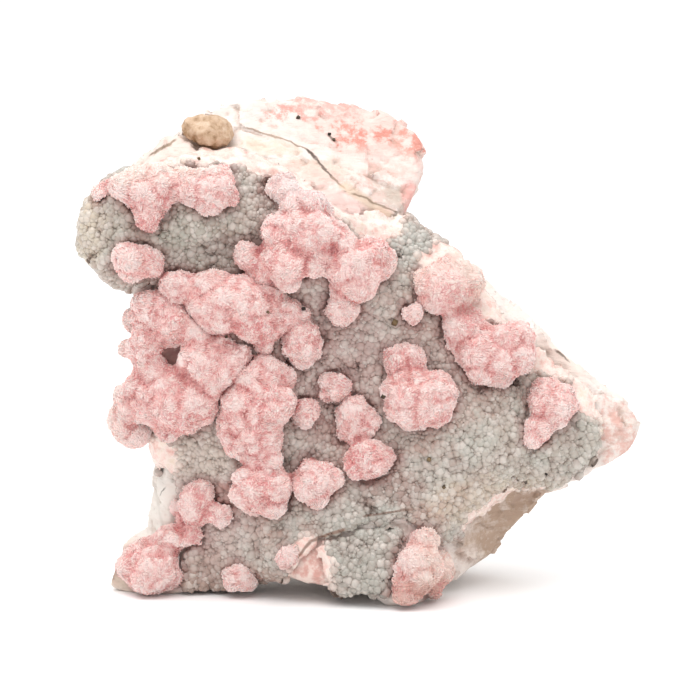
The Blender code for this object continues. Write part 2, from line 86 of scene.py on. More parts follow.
LOG = logging.getLogger("specimen")
MM = 0.001  # every length below is in millimetres unless its comment says otherwise
BODY = "root"
BALL_PREFIX = "rhodochrosite_"
MERGE_DISTANCE = 0.01 * MM
FULL_RELIEF = 2.0  # relief fades out below this height, so that the specimen still stands flat
START_OFF = 0.1  # metres before the specimen at which a search for its surface starts
INTO_ROCK = (0.0, 1.0, -0.14)  # the way that veins and cracks run into the rock


class Slot(Enum):
    """Material slots of the record."""

    HOST_ROCK = "host_rock"
    QUARTZ = "quartz"
    BROWN_ROCK = "brown_rock"
    RHODOCHROSITE = "rhodochrosite"


class Mark(str, Enum):
    """Attributes that the meshes carry and the materials read."""

    LOBE = "lobe"  # 0 in the creases between two lobes of a ball, 1 on a lobe's crown
    BLADE = "blade"  # 0 at the foot of a blade, 1 on its edge
    TIP = "tip"  # 0 between the quartz grains, 1 on their tips; the quartz paints shade toward 0
    SHADE = "shade"  # one random value for each grain or blade
    RIPPLE = "ripple"  # 1 along the wrinkles of a ball, 0 between them
    NEAR = "near"  # 1 on a surface that lies against a ball, where the materials paint shade
    BARE = "bare"  # 1 where the quartz skin carries no crystals
    HOLLOW = "hollow"  # 1 in the hollows of the quartz skin
    RELIEF = "relief"  # 0 in the hollows of broken rock, 1 on its crests


# ---------------------------------------------------------------- nodes


def linear(code: str) -> tuple[float, float, float, float]:
    """Turn an sRGB colour to the linear one that Blender wants.

    Args:
        code: The colour as "#rrggbb".

    Returns:
        Linear red, green and blue, and an alpha of 1.
    """
    channels = [int(code[place : place + 2], 16) / 255 for place in (1, 3, 5)]
    red, green, blue = (c / 12.92 if c <= 0.04045 else ((c + 0.055) / 1.055) ** 2.4 for c in channels)
    return red, green, blue, 1.0


def add_node(
    tree: Tree,
    kind: str,
    links: dict[str | int, object] | None = None,
    stops: tuple[tuple[float, str], ...] = (),
    **settings: object,
) -> Node:
    """Add one node with its settings and links.

    Args:
        tree: The material's or the modifier's node tree.
        kind: The node's type.
        links: What each input gets, by the input's name or its place among those in use: a value,
            a colour as "#rrggbb", an output socket, or a node, whose first output in use is meant.
        stops: Places and colours of a colour ramp.
        settings: The node's own settings.

    Returns:
        The new node.
    """
    node = tree.nodes.new(kind)
    for name, value in settings.items():
        setattr(node, name, value)
    inputs = [socket for socket in node.inputs if socket.enabled]
    for key, value in (links or {}).items():
        socket = inputs[key] if isinstance(key, int) else next(s for s in inputs if s.name == key)
        if isinstance(value, Node):
            value = next(s for s in value.outputs if s.enabled)
        if isinstance(value, Socket):
            tree.links.new(value, socket)
        else:
            is_colour = isinstance(value, str) and value.startswith("#")
            socket.default_value = linear(value) if is_colour else value
    if stops:
        ramp = node.color_ramp
        while len(ramp.elements) < len(stops):
            ramp.elements.new(1.0)
        for element, (place, colour) in zip(ramp.elements, stops):
            element.position = place
            element.color = linear(colour)
    return node


def new_material(name: str) -> tuple[bpy.types.Material, Tree, Node]:
    """Make an empty node material.

    Args:
        name: What the material is and how its surface was made.

    Returns:
        The material, its tree and its output node.
    """
    made = bpy.data.materials.new(name)
    made.use_nodes = True
    made.node_tree.nodes.clear()
    return made, made.node_tree, add_node(made.node_tree, "ShaderNodeOutputMaterial")


def add_surface(tree: Tree, output: Node, links: dict[str | int, object]) -> None:
    """Finish a material with its surface shader.

    Args:
        tree: The material's tree.
        output: Its output node.
        links: What the shader's inputs get.
    """
    shader = add_node(tree, "ShaderNodeBsdfPrincipled", links)
    tree.links.new(shader.outputs["BSDF"], output.inputs["Surface"])


def new_modifier_tree(name: str) -> tuple[Tree, Node, Node]:
    """Make an empty tree for a Geometry Nodes modifier.

    Args:
        name: The tree's name.

    Returns:
        The tree, the node that gives the mesh, and the node that takes the finished one.
    """
    tree = bpy.data.node_groups.new(name, "GeometryNodeTree")
    for direction in ("INPUT", "OUTPUT"):
        tree.interface.new_socket("Geometry", in_out=direction, socket_type="NodeSocketGeometry")
    return tree, add_node(tree, "NodeGroupInput"), add_node(tree, "NodeGroupOutput")


def wandered(
    tree: Tree, place: Node, size: float, shift: float, detail: float = 3.0, centred: bool = True
) -> Node:
    """Shift a place about by noise.

    Args:
        tree: The material's or the modifier's tree.
        place: The place, in whatever unit the tree uses.
        size: Size of the swirls in the shift.
        shift: How far it goes from end to end.
        detail: How many finer swirls there are in each.
        centred: Whether it goes both ways, or only one.

    Returns:
        The node that gives the shifted place.
    """
    swirl = add_node(tree, "ShaderNodeTexNoise", {"Vector": place, "Scale": 1 / size, "Detail": detail})
    swirl = swirl.outputs["Color"]
    if centred:
        swirl = add_node(tree, "ShaderNodeVectorMath", {0: swirl, 1: (0.5,) * 3}, operation="SUBTRACT")
    return add_node(
        tree, "ShaderNodeVectorMath", {0: swirl, 1: (shift,) * 3, 2: place}, operation="MULTIPLY_ADD"
    )


# ---------------------------------------------------------------- nodes of the finishes


def object_place(tree: Tree, wander: float = 0.0, wander_size: float = 5.0) -> Node:
    """Give a material the place on the object in millimetres, shifted about by noise where asked.

    Args:
        tree: The material's tree.
        wander: How far the place is shifted.
        wander_size: Size of the swirls in that shift.

    Returns:
        The node whose output is the place.
    """
    metres = add_node(tree, "ShaderNodeTexCoord").outputs["Object"]
    place = add_node(tree, "ShaderNodeMapping", {"Vector": metres, "Scale": (1 / MM,) * 3})
    return wandered(tree, place, wander_size, 2 * wander) if wander else place


def fine_grain(tree: Tree, place: Node, size: float) -> Node:
    """Give a material fine fractal noise about 0, which breaks its colours up.

    Args:
        tree: The material's tree.
        place: The place on the object in millimetres.
        size: Width of the largest grains.

    Returns:
        The node that gives the noise.
    """
    spots = {"Vector": place, "Scale": 1 / size, "Detail": 6.0, "Roughness": 0.72}
    noise = add_node(tree, "ShaderNodeTexNoise", spots)
    return add_node(tree, "ShaderNodeMath", {0: noise, 1: 0.5}, operation="SUBTRACT")


def marks_of(tree: Tree, *marks: Mark) -> list[Socket]:
    """Read a mesh's marks in its material.

    Args:
        tree: The material's tree.
        marks: The marks that are wanted.

    Returns:
        The output of each, in that order.
    """
    return [add_node(tree, "ShaderNodeAttribute", attribute_name=mark.value).outputs["Fac"] for mark in marks]


def wash(
    tree: Tree,
    below: Node,
    colour: str,
    amount: Node | Socket,
    start: float,
    full: float,
    strength: float = 1.0,
    grain: Node | None = None,
    mottle: float = 1.0,
    fade: str = "LINEAR",
) -> Node:
    """Lay a colour over the one below it, the more the further an amount goes from start to full.

    Args:
        tree: The material's tree.
        below: The colour so far.
        colour: The colour that is laid over it.
        amount: What says how much of it shows.
        start: Amount at which it starts to show.
        full: Amount at which the most of it shows.
        strength: How much of it shows then.
        grain: Noise that breaks the amount up, if any.
        mottle: How much the noise changes it.
        fade: How the colour fades in, as a Map Range node names it.

    Returns:
        The node that gives the new colour.
    """
    if grain is not None:
        amount = add_node(
            tree, "ShaderNodeMath", {0: grain, 1: mottle, 2: amount}, operation="MULTIPLY_ADD"
        )
    ends = {"Value": amount, "From Min": start, "From Max": full, "To Max": strength}
    share = add_node(tree, "ShaderNodeMapRange", ends, interpolation_type=fade)
    return add_node(tree, "ShaderNodeMix", {"Factor": share, "A": below, "B": colour}, data_type="RGBA")


@dataclass(frozen=True)
class Patch:
    """A part of the object that has a colour of its own.

    Attributes:
        centre: Its middle on the object.
        reach: How far it goes along x, y and z.
        colour: Its colour.
        strength: How much of the colour shows at its middle.
        soft: Share of the reach over which it fades out.
        mottle: How much the patch is broken up into grains.
        thin: How far the patch is worn away between its grains.
    """

    centre: Triple
    reach: Triple
    colour: str
    strength: float = 1.0
    soft: float = 0.4
    mottle: float = 1.5
    thin: float = 0.0

    def over(self, tree: Tree, place: Node, below: Node, grain: Node) -> Node:
        """Lay the patch over the colour below it.

        Args:
            tree: The material's tree.
            place: The place on the object in millimetres.
            below: The colour so far.
            grain: Noise about 0 that breaks the patch up.

        Returns:
            The node that gives the new colour.
        """
        at = {"Vector": place, "Location": self.centre, "Scale": self.reach}
        local = add_node(tree, "ShaderNodeMapping", at, vector_type="TEXTURE")
        away = add_node(tree, "ShaderNodeVectorMath", {0: local}, operation="LENGTH").outputs["Value"]
        rim = 1 - self.thin
        ends = (rim + self.soft, rim - self.soft, self.strength)
        return wash(tree, below, self.colour, away, *ends, grain, self.mottle, "SMOOTHSTEP")


@dataclass(frozen=True)
class Streak:
    """A thin vein or crack, the line in which a wavy sheet meets the surface.

    Attributes:
        start: One end of the line.
        end: The other end.
        half_width: Half its width.
        colour: Its colour.
        strength: How much of the colour shows.
    """

    start: Triple
    end: Triple
    half_width: float
    colour: str
    strength: float = 0.8

    def over(self, tree: Tree, place: Node, below: Node) -> Node:
        """Lay the streak over the colour below it.

        Args:
            tree: The material's tree.
            place: The place on the object in millimetres.
            below: The colour so far.

        Returns:
            The node that gives the new colour.
        """
        start, end = Vector(self.start), Vector(self.end)
        across = tuple((end - start).cross(Vector(INTO_ROCK)).normalized())
        reach = (end - start).length / 2
        middle = tuple((start + end) / 2)
        local = add_node(tree, "ShaderNodeVectorMath", {0: place, 1: middle}, operation="SUBTRACT")
        off = add_node(tree, "ShaderNodeVectorMath", {0: local, 1: across}, operation="DOT_PRODUCT")
        off = add_node(tree, "ShaderNodeMath", {0: off.outputs["Value"]}, operation="ABSOLUTE")
        rim, core = 1.3 * self.half_width, 0.5 * self.half_width
        on_line = {"Value": off, "From Min": rim, "From Max": core, "To Max": self.strength}
        on_line = add_node(tree, "ShaderNodeMapRange", on_line)
        away = add_node(tree, "ShaderNodeVectorMath", {0: local}, operation="LENGTH").outputs["Value"]
        within = {"Value": away, "From Min": reach + 0.5, "From Max": reach - 0.3}
        within = add_node(tree, "ShaderNodeMapRange", within)
        mask = add_node(tree, "ShaderNodeMath", {0: on_line, 1: within}, operation="MULTIPLY")
        layers = {"Factor": mask, "A": below, "B": self.colour}
        return add_node(tree, "ShaderNodeMix", layers, data_type="RGBA")


# ---------------------------------------------------------------- nodes of the meshes


def crest_of(tree: Tree, passes: int, low: float, high: float) -> Node:
    """Tell the crests of a mesh from its hollows, by how far each point lies off the smoothed mesh.

    Args:
        tree: The modifier's tree.
        passes: How often the mesh is smoothed to compare.
        low: How far below the smoothed mesh a point counts as a hollow, 0.
        high: How far above it a point counts as a crest, 1.

    Returns:
        The node that gives the measure.
    """
    place = add_node(tree, "GeometryNodeInputPosition")
    smoothing = {"Value": place, "Iterations": passes}
    smoothed = add_node(tree, "GeometryNodeBlurAttribute", smoothing, data_type="FLOAT_VECTOR")
    off = add_node(tree, "ShaderNodeVectorMath", {0: place, 1: smoothed}, operation="SUBTRACT")
    normal = add_node(tree, "GeometryNodeInputNormal")
    above = add_node(tree, "ShaderNodeVectorMath", {0: off, 1: normal}, operation="DOT_PRODUCT")
    ends = {"Value": above.outputs["Value"], "From Min": low * MM, "From Max": high * MM}
    return add_node(tree, "ShaderNodeMapRange", ends)


def distance_to(tree: Tree, other: Piece) -> Socket:
    """Give each point's distance from another object, in metres.

    Args:
        tree: The modifier's tree.
        other: The object.

    Returns:
        The output that gives the distance.
    """
    surface = add_node(tree, "GeometryNodeObjectInfo", {"Object": other}).outputs["Geometry"]
    nearest = add_node(tree, "GeometryNodeProximity", {"Geometry": surface}, target_element="FACES")
    return nearest.outputs["Distance"]


def displaced(tree: Tree, mesh: Node, height: Node, floor: float | None = None) -> Node:
    """Move a mesh's points out along their normals.

    Args:
        tree: The modifier's tree.
        mesh: The node that gives the mesh.
        height: How far each point moves.
        floor: Points lower than this stay, and those a little higher move less.

    Returns:
        The node that gives the moved mesh.
    """
    if floor is not None:
        place = add_node(tree, "GeometryNodeInputPosition")
        up = add_node(tree, "ShaderNodeSeparateXYZ", {0: place}).outputs["Z"]
        ends = {"Value": up, "From Min": floor * MM, "From Max": FULL_RELIEF * MM}
        above = add_node(tree, "ShaderNodeMapRange", ends)
        height = add_node(tree, "ShaderNodeMath", {0: height, 1: above}, operation="MULTIPLY")
    normal = add_node(tree, "GeometryNodeInputNormal")
    offset = add_node(tree, "ShaderNodeVectorMath", {0: normal, "Scale": height}, operation="SCALE")
    return add_node(tree, "GeometryNodeSetPosition", {"Geometry": mesh, "Offset": offset})


def marked(tree: Tree, mesh: Node | Socket, marks: dict[Mark, object], domain: str = "POINT") -> Node:
    """Store marks on a mesh, which its material reads.

    Args:
        tree: The modifier's tree.
        mesh: What gives the mesh.
        marks: Each mark and its value.
        domain: What carries the marks.

    Returns:
        The node that gives the marked mesh.
    """
    for mark, value in marks.items():
        stored = {"Geometry": mesh, "Name": mark.value, "Value": value}
        mesh = add_node(
            tree, "GeometryNodeStoreNamedAttribute", stored, data_type="FLOAT", domain=domain
        )
    return mesh


def feet_on(
    tree: Tree, mesh: Node, gap: float, seed: int, cover: Piece, covered: float, low: float, *bare: Node
) -> tuple[Node, Socket]:
    """Scatter the feet of blades or crystals over a mesh.

    Args:
        tree: The modifier's tree.
        mesh: The node that gives the mesh.
        gap: Least distance between two feet.
        seed: Seed of the scatter.
        cover: What may lie over the mesh.
        covered: There is no foot where it is closer than this.
        low: There is no foot lower than this.
        bare: Says where else there is none.

    Returns:
        The node that gives the feet, and the output that gives the way they point.
    """
    scatter = {"Mesh": mesh, "Distance Min": gap * MM, "Density Max": 4 / (gap * MM) ** 2, "Seed": seed}
    feet = add_node(tree, "GeometryNodeDistributePointsOnFaces", scatter, distribute_method="POISSON")
    outward = feet.outputs["Normal"]
    place = add_node(tree, "GeometryNodeInputPosition")
    lid = add_node(tree, "GeometryNodeObjectInfo", {"Object": cover}).outputs["Geometry"]
    ray = {"Target Geometry": lid, "Source Position": place, "Ray Direction": outward}
    ray["Ray Length"] = covered * MM
    hidden = add_node(tree, "GeometryNodeRaycast", ray).outputs["Is Hit"]
    up = add_node(tree, "ShaderNodeSeparateXYZ", {0: place}).outputs["Z"]
    sunk = add_node(tree, "ShaderNodeMath", {0: up, 1: low * MM}, operation="LESS_THAN")
    for left_out in (sunk, *bare):
        hidden = add_node(tree, "FunctionNodeBooleanMath", {0: hidden, 1: left_out}, operation="OR")
    dropped = {"Geometry": feet.outputs["Points"], "Selection": hidden}
    return add_node(tree, "GeometryNodeDeleteGeometry", dropped, domain="POINT"), outward


def plant(
    tree: Tree, sink: Node, ground: Node, feet: Node, shape: Node, turned: Node, sizes: tuple[float, float]
) -> None:
    """Set a copy of a blade or a crystal on each foot, and finish the tree.

    Args:
        tree: The modifier's tree.
        sink: The node that takes the finished mesh.
        ground: The node that gives the mesh they stand on.
        feet: The node that gives their feet.
        shape: The node that gives the blade or the crystal.
        turned: The node that gives the turn of each.
        sizes: Least and greatest size of one, as a share of the shape's.
    """
    low, high = sizes
    grown = add_node(tree, "FunctionNodeRandomValue", {"Min": low, "Max": high, "Seed": 5}, data_type="FLOAT")
    copied = {"Points": feet, "Instance": shape, "Rotation": turned, "Scale": grown}
    copies = add_node(tree, "GeometryNodeInstanceOnPoints", copied)
    luck = add_node(tree, "FunctionNodeRandomValue", {"Min": 0.0, "Max": 1.0, "Seed": 11}, data_type="FLOAT")
    copies = marked(tree, copies, {Mark.SHADE: luck}, "INSTANCE")
    copies = add_node(tree, "GeometryNodeRealizeInstances", {"Geometry": copies})
    both = add_node(tree, "GeometryNodeJoinGeometry")
    for part in (copies, ground):
        tree.links.new(part.outputs[0], both.inputs[0])
    tree.links.new(both.outputs[0], sink.inputs[0])


# ---------------------------------------------------------------- pieces


def deselect_all() -> None:
    """Deselect everything, as each operator acts on all that is selected."""
    for other in bpy.context.view_layer.objects:
        other.select_set(False)


def select_only(obj: Piece) -> None:
    """Deselect everything, then make one object selected and active.

    Args:
        obj: The object.
    """
    deselect_all()
    obj.select_set(True)
    bpy.context.view_layer.objects.active = obj


def apply_modifier(obj: Piece, kind: str, **settings: object) -> None:
    """Add one modifier to an object and apply it.

    Args:
        obj: The piece.
        kind: The modifier's type.
        settings: The modifier's settings.
    """
    select_only(obj)
    modifier = obj.modifiers.new(kind.lower(), kind)
    for name, value in settings.items():
        setattr(modifier, name, value)
    bpy.ops.object.modifier_apply(modifier=modifier.name)


def edit_where(obj: Piece, wanted: Callable[[Vector], bool], *steps: tuple[Callable, dict]) -> None:
    """Select the vertices of a mesh by their place, and change them in edit mode.

    Args:
        obj: The object.
        wanted: Says of a vertex's place whether it is selected.
        steps: Operators and their settings, in order.
    """
    select_only(obj)
    bpy.ops.object.mode_set(mode="EDIT")
    bpy.ops.mesh.select_mode(type="VERT")
    bpy.ops.mesh.select_all(action="DESELECT")
    bpy.ops.object.mode_set(mode="OBJECT")
    for vertex in obj.data.vertices:
        vertex.select = wanted(vertex.co)
    bpy.ops.object.mode_set(mode="EDIT")
    for operator, settings in steps:
        operator(**settings)
    bpy.ops.object.mode_set(mode="OBJECT")


def copy_of(node_names: list[str], name: str) -> Piece:
    """Copy CAD solids into one new object of welded faces.

    Args:
        node_names: The CAD nodes.
        name: The new object's name.

    Returns:
        The new object, at the origin.
    """
    copies = []
    for node_name in node_names:
        node = frame["nodes"][node_name]
        single = node.copy()
        single.data = node.data.copy()
        single.parent = None
        bpy.context.scene.collection.objects.link(single)
        single.hide_render = single.hide_viewport = False
        copies.append(single)
    select_only(copies[0])
    for single in copies:
        single.select_set(True)
    if len(copies) > 1:
        bpy.ops.object.join()
    piece = bpy.context.view_layer.objects.active
    piece.name = piece.data.name = name
    for key in [key for key in piece.keys() if key.startswith("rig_")]:
        del piece[key]
    piece.data.materials.clear()
    edit_where(piece, lambda at: True, (bpy.ops.mesh.remove_doubles, {"threshold": MERGE_DISTANCE}))
    return piece


def copy_of_balls(name: str, without: str = "") -> Piece:
    """Copy all the pink balls, or all but one group, into one object.

    Args:
        name: The new object's name.
        without: The node that is left out.

    Returns:
        The new object.
    """
    balls = sorted(node for node in frame["nodes"] if node.startswith(BALL_PREFIX))
    return copy_of([node for node in balls if node != without], name)


def round_off(piece: Piece, voxel: float, passes: int) -> None:
    """Turn a faceted copy of a solid into an even mesh with soft edges.

    Args:
        piece: The copy.
        voxel: Edge of the new faces.
        passes: How often the new mesh is smoothed.
    """
    apply_modifier(piece, "REMESH", mode="VOXEL", voxel_size=voxel * MM)
    apply_modifier(piece, "SMOOTH", factor=0.5, iterations=passes)


def dress(
    piece: Piece, material: bpy.types.Material, slot: Slot, *nodes: str, angle: float = 180.0
) -> None:
    """Give a finished mesh its material, its shading and its place in the frame.

    Args:
        piece: The finished mesh.
        material: Its finish.
        slot: The record's slot that the finish belongs to; not used.
        nodes: The CAD nodes that the piece stands for.
        angle: Edges sharper than this many degrees stay crisp.
    """
    piece.data.materials.clear()
    piece.data.materials.append(material)
    select_only(piece)
    bpy.ops.object.shade_smooth_by_angle(angle=math.radians(angle))
    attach(piece, BODY)
    if nodes:
        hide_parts(*nodes)
    LOG.info("%s: %d triangles", piece.name, sum(len(face.vertices) - 2 for face in piece.data.polygons))


# ---------------------------------------------------------------- finishes


@dataclass(frozen=True)
class GrownRhodochrosite:
    """Rhodochrosite as it grew, in curved blades. Pale wrinkled cushions sink to rose and maroon creases: the
    paler crowns, wrinkles and blade edges are painted highlight, and the rose and maroon creases are painted
    shade.
    """

    # From deep to edge the colour follows painted shade in the creases and painted highlight on crowns,
    # wrinkles and blade edges, over random blotches.
    deep: str = "#cb7a7a"
    rose: str = "#e09894"
    body: str = "#edb8b3"
    edge: str = "#f8dad4"
    # painted shade where a ball lies against another
    crevice: str = "#b8625f"
    stroke: str = "#dc7d7d"  # thin curved lines between the blades
    stroke_size: float = 1.3
    mottle: float = 1.1  # rose and pale blotches, as wide as the wrinkles
    mottle_lift: float = 1.15  # how far the blotches make a place paler
    lifts: tuple[float, ...] = (0.55, 0.2, 0.22, 0.12)  # painted highlight that crowns, wrinkles and edges add to it, and random tone that luck adds
    pale: str = "#f5d8cf"
    pale_size: float = 6.5  # paler and pinker parts of a ball
    patches: tuple[Patch, ...] = (
        Patch((-41, -12, 80), (17, 12, 5.5), "#f5e3d8", 0.75, 0.5),
        Patch((22, -6, 57.5), (16, 8, 5.5), "#f3dcd0", 0.75, 0.5),
        Patch((-6, -8, 73), (11, 8, 5.5), "#efdcd8", 0.85, 0.5),
        Patch((-46, -7, 38), (4, 9, 15), "#f2ddd3", 0.45, 0.5),
        Patch((16, -18, 8), (8, 9, 8), "#efd6c9", 0.6, 0.5),
        Patch((8, -20, 2.5), (9, 9, 3.2), "#c99585", 0.6, 0.5),
        Patch((-10, -18, 4), (12, 6, 4), "#cf9a92", 0.6, 0.5),
    )
    grit: float = 0.16  # steps on the blades' faces, a few hundredths wide, drawn coarser so that they show
    grit_height: float = 0.03
    roughness: float = 0.6
    ior: float = 1.7

    def material(self) -> bpy.types.Material:
        """Make the finish of the pink balls.

        Returns:
            The material.
        """
        made, tree, output = new_material("rhodochrosite_grown_blades")
        place = object_place(tree)
        grain = fine_grain(tree, place, self.mottle)
        near, *parts = marks_of(tree, Mark.NEAR, Mark.LOBE, Mark.RIPPLE, Mark.BLADE, Mark.SHADE)
        # Paler on crowns, wrinkles and blade edges, deeper in the creases: painted highlight and painted
        # shade, over random blotches.
        lift = add_node(tree, "ShaderNodeMath", {0: grain, 1: self.mottle_lift}, operation="MULTIPLY")
        for part, share in zip(parts, self.lifts):
            lift = add_node(tree, "ShaderNodeMath", {0: part, 1: share, 2: lift}, operation="MULTIPLY_ADD")
        tones = tuple(zip((0.2, 0.36, 0.54, 0.78), (self.deep, self.rose, self.body, self.edge)))
        colour = add_node(tree, "ShaderNodeValToRGB", {"Fac": lift}, stops=tones)
        spread = {"Vector": place, "Scale": 1 / self.pale_size, "Detail": 2.0}
        clouds = add_node(tree, "ShaderNodeTexNoise", spread)
        colour = wash(tree, colour, self.pale, clouds, 0.45, 0.72, 0.35)
        wandering = object_place(tree, wander=2.0, wander_size=5.0)
        for patch in self.patches:
            colour = patch.over(tree, wandering, colour, grain)
        curl = {
            "Vector": place, "Scale": 1 / self.stroke_size, "Detail": 3.0, "Roughness": 0.6, "Distortion": 1.2
        }
        lines = add_node(tree, "ShaderNodeTexNoise", curl)
        off_line = add_node(tree, "ShaderNodeMath", {0: lines, 1: 0.5}, operation="SUBTRACT")
        off_line = add_node(tree, "ShaderNodeMath", {0: off_line}, operation="ABSOLUTE")
        colour = wash(tree, colour, self.stroke, off_line, -0.1, -0.145, 0.7, clouds, -0.25)
        # Painted shade: maroon where the ball lies against another.
        colour = wash(tree, colour, self.crevice, near, 0.25, 1.1, 0.85, grain, 1.2)
        grit = add_node(tree, "ShaderNodeTexNoise", {"Vector": place, "Scale": 1 / self.grit, "Detail": 3.0})
        steps = {"Height": grit, "Strength": 0.6, "Distance": self.grit_height * MM}
        surface = {
            "Base Color": colour,
            "Normal": add_node(tree, "ShaderNodeBump", steps),
            "Roughness": self.roughness,
            "IOR": self.ior,
            "Subsurface Weight": 0.4,
            "Subsurface Radius": (1.0, 0.5, 0.45),
            "Subsurface Scale": 0.6 * MM,
        }
        add_surface(tree, output, surface)
        return made


@dataclass(frozen=True)
class DrusyQuartz:
    """Quartz as it grew, a sugar of blunt crystals. Cloudy grey tips stand over warm gaps in painted shade,
    and the quartz is darkened in painted shade against the balls and in its hollows. Parts are bare.
    """

    # painted shade between the crystals, deepest at their feet
    gap: str = "#a08d84"
    cool: str = "#b6b0a7"
    warm: str = "#b39a8f"
    milk: str = "#d6cdc5"
    shadow: str = "#85544f"  # painted shade on the quartz at the foot of a ball and in the hollows of the skin
    bare: tuple[str, str, str, str] = ("#d99f95", "#ebc9be", "#f2e2d9", "#e6d3be")
    tone_size: float = 5.0  # warm and cool parts of the druse
    mottle: float = 2.2
    sugar_height: float = 0.5
    patches: tuple[Patch, ...] = (
        Patch((34, -9, 27), (20, 9, 12), "#b1aea3", 0.6),
        Patch((0, -17, 9), (9, 7, 9), "#a5a39a", 0.75),
        Patch((-27, -12, 3.5), (12, 6, 4), "#9c8173", 0.7),
        Patch((-34, -10, 65), (16, 9, 10), "#aba99c", 0.6),
        Patch((-28, -9, 17), (11, 9, 12), "#cbb7b0", 0.7),
        Patch((-30, -10, 25), (8, 9, 4), "#d6cdc0", 0.6),
        Patch((24, -12, 17), (13, 9, 5), "#cdbca8", 0.6),
        Patch((-48.5, -10, 67), (3, 9, 9), "#d8cab6", 0.6),
        Patch((-6, -12, 44), (9, 9, 16), "#b19590", 0.6),
        Patch((8, -12, 42), (12, 9, 8), "#bda69f", 0.5),
        # The next three are painted shade in the recess and crevice under the jutting upper left part.
        Patch((-17, -9, 68), (3, 6, 5), "#8d7d76", 0.6),
        Patch((-25, -11, 62), (4, 6, 3), "#94847e", 0.5),
        Patch((-34, -11, 60), (4, 6, 3), "#94847e", 0.5),
        Patch((3, -15, 21), (7, 6, 3), "#8d7a72", 0.5),
        Patch((-25, -11, 18), (3, 6, 3.5), "#a06c62", 0.6),
        Patch((7, -7, 62.5), (5.5, 6, 3.6), "#b3b2aa", 0.9),
    )
    streaks: tuple[Streak, ...] = (
        Streak((-12.6, -17, 7.6), (-9.5, -16.6, 11.6), 0.3, "#83614f"),
        Streak((-9.5, -16.6, 11.6), (-3.4, -16.0, 13.6), 0.3, "#83614f"),
        Streak((0.0, -16.4, 16.0), (8.5, -15.7, 17.2), 0.22, "#7c5d4d", 0.7),
    )
    roughness: float = 0.24
    ior: float = 1.54

    def material(self) -> bpy.types.Material:
        """Make the finish of the quartz.

        Returns:
            The material.
        """
        made, tree, output = new_material("quartz_grown_druse")
        still = object_place(tree)
        place = object_place(tree, wander=2.0, wander_size=6.0)
        grain = fine_grain(tree, still, self.mottle)
        tip, shade, near, hollow, bare = marks_of(
            tree, Mark.TIP, Mark.SHADE, Mark.NEAR, Mark.HOLLOW, Mark.BARE
        )
        spread = {"Vector": still, "Scale": 1 / self.tone_size, "Detail": 4.0, "Roughness": 0.6}
        tone = add_node(tree, "ShaderNodeTexNoise", spread)
        tones = ((0.38, self.warm), (0.6, self.cool))
        colour = add_node(tree, "ShaderNodeValToRGB", {"Fac": tone}, stops=tones)
        for patch in self.patches:
            colour = patch.over(tree, place, colour, grain)
        colour = wash(tree, colour, self.milk, shade, 0.4, 1.0, 0.65)
        # Painted shade: the gap colour toward the crystals' feet and on the skin between them.
        colour = wash(tree, colour, self.gap, tip, 0.75, 0.2, 0.5)
        # Painted shade against the balls and in the skin's hollows.
        painted_shade = add_node(tree, "ShaderNodeMath", {0: hollow, 1: 0.15}, operation="MULTIPLY")
        painted_shade = {0: near, 1: 0.55, 2: painted_shade}
        painted_shade = add_node(tree, "ShaderNodeMath", painted_shade, operation="MULTIPLY_ADD", use_clamp=True)
        layers = {"Factor": painted_shade, "A": colour, "B": self.shadow}
        colour = add_node(tree, "ShaderNodeMix", layers, data_type="RGBA")
        crust = add_node(tree, "ShaderNodeMath", {0: grain, 1: 1.6, 2: 0.5}, operation="MULTIPLY_ADD")
        tones = tuple(zip((0.15, 0.38, 0.58, 0.85), self.bare))
        crust = add_node(tree, "ShaderNodeValToRGB", {"Fac": crust}, stops=tones)
        bare = add_node(tree, "ShaderNodeMath", {0: grain, 1: 0.8, 2: bare}, operation="MULTIPLY_ADD")
        bare = add_node(tree, "ShaderNodeMapRange", {"Value": bare, "From Min": 0.25, "From Max": 0.65})
        colour = add_node(tree, "ShaderNodeMix", {"Factor": bare, "A": colour, "B": crust}, data_type="RGBA")
        wavy = object_place(tree, wander=0.4, wander_size=3.0)
        for streak in self.streaks:
            colour = streak.over(tree, wavy, colour)
        sugar = add_node(tree, "ShaderNodeMath", {0: grain, 1: bare}, operation="MULTIPLY")
        relief = {"Height": sugar, "Strength": 0.8, "Distance": self.sugar_height * MM}
        surface = {
            "Base Color": colour,
            "Normal": add_node(tree, "ShaderNodeBump", relief),
            "Roughness": self.roughness,
            "IOR": self.ior,
            "Subsurface Weight": 0.2,
            "Subsurface Radius": (1.0, 0.85, 0.78),
            "Subsurface Scale": 0.4 * MM,
        }
        add_surface(tree, output, surface)
        return made


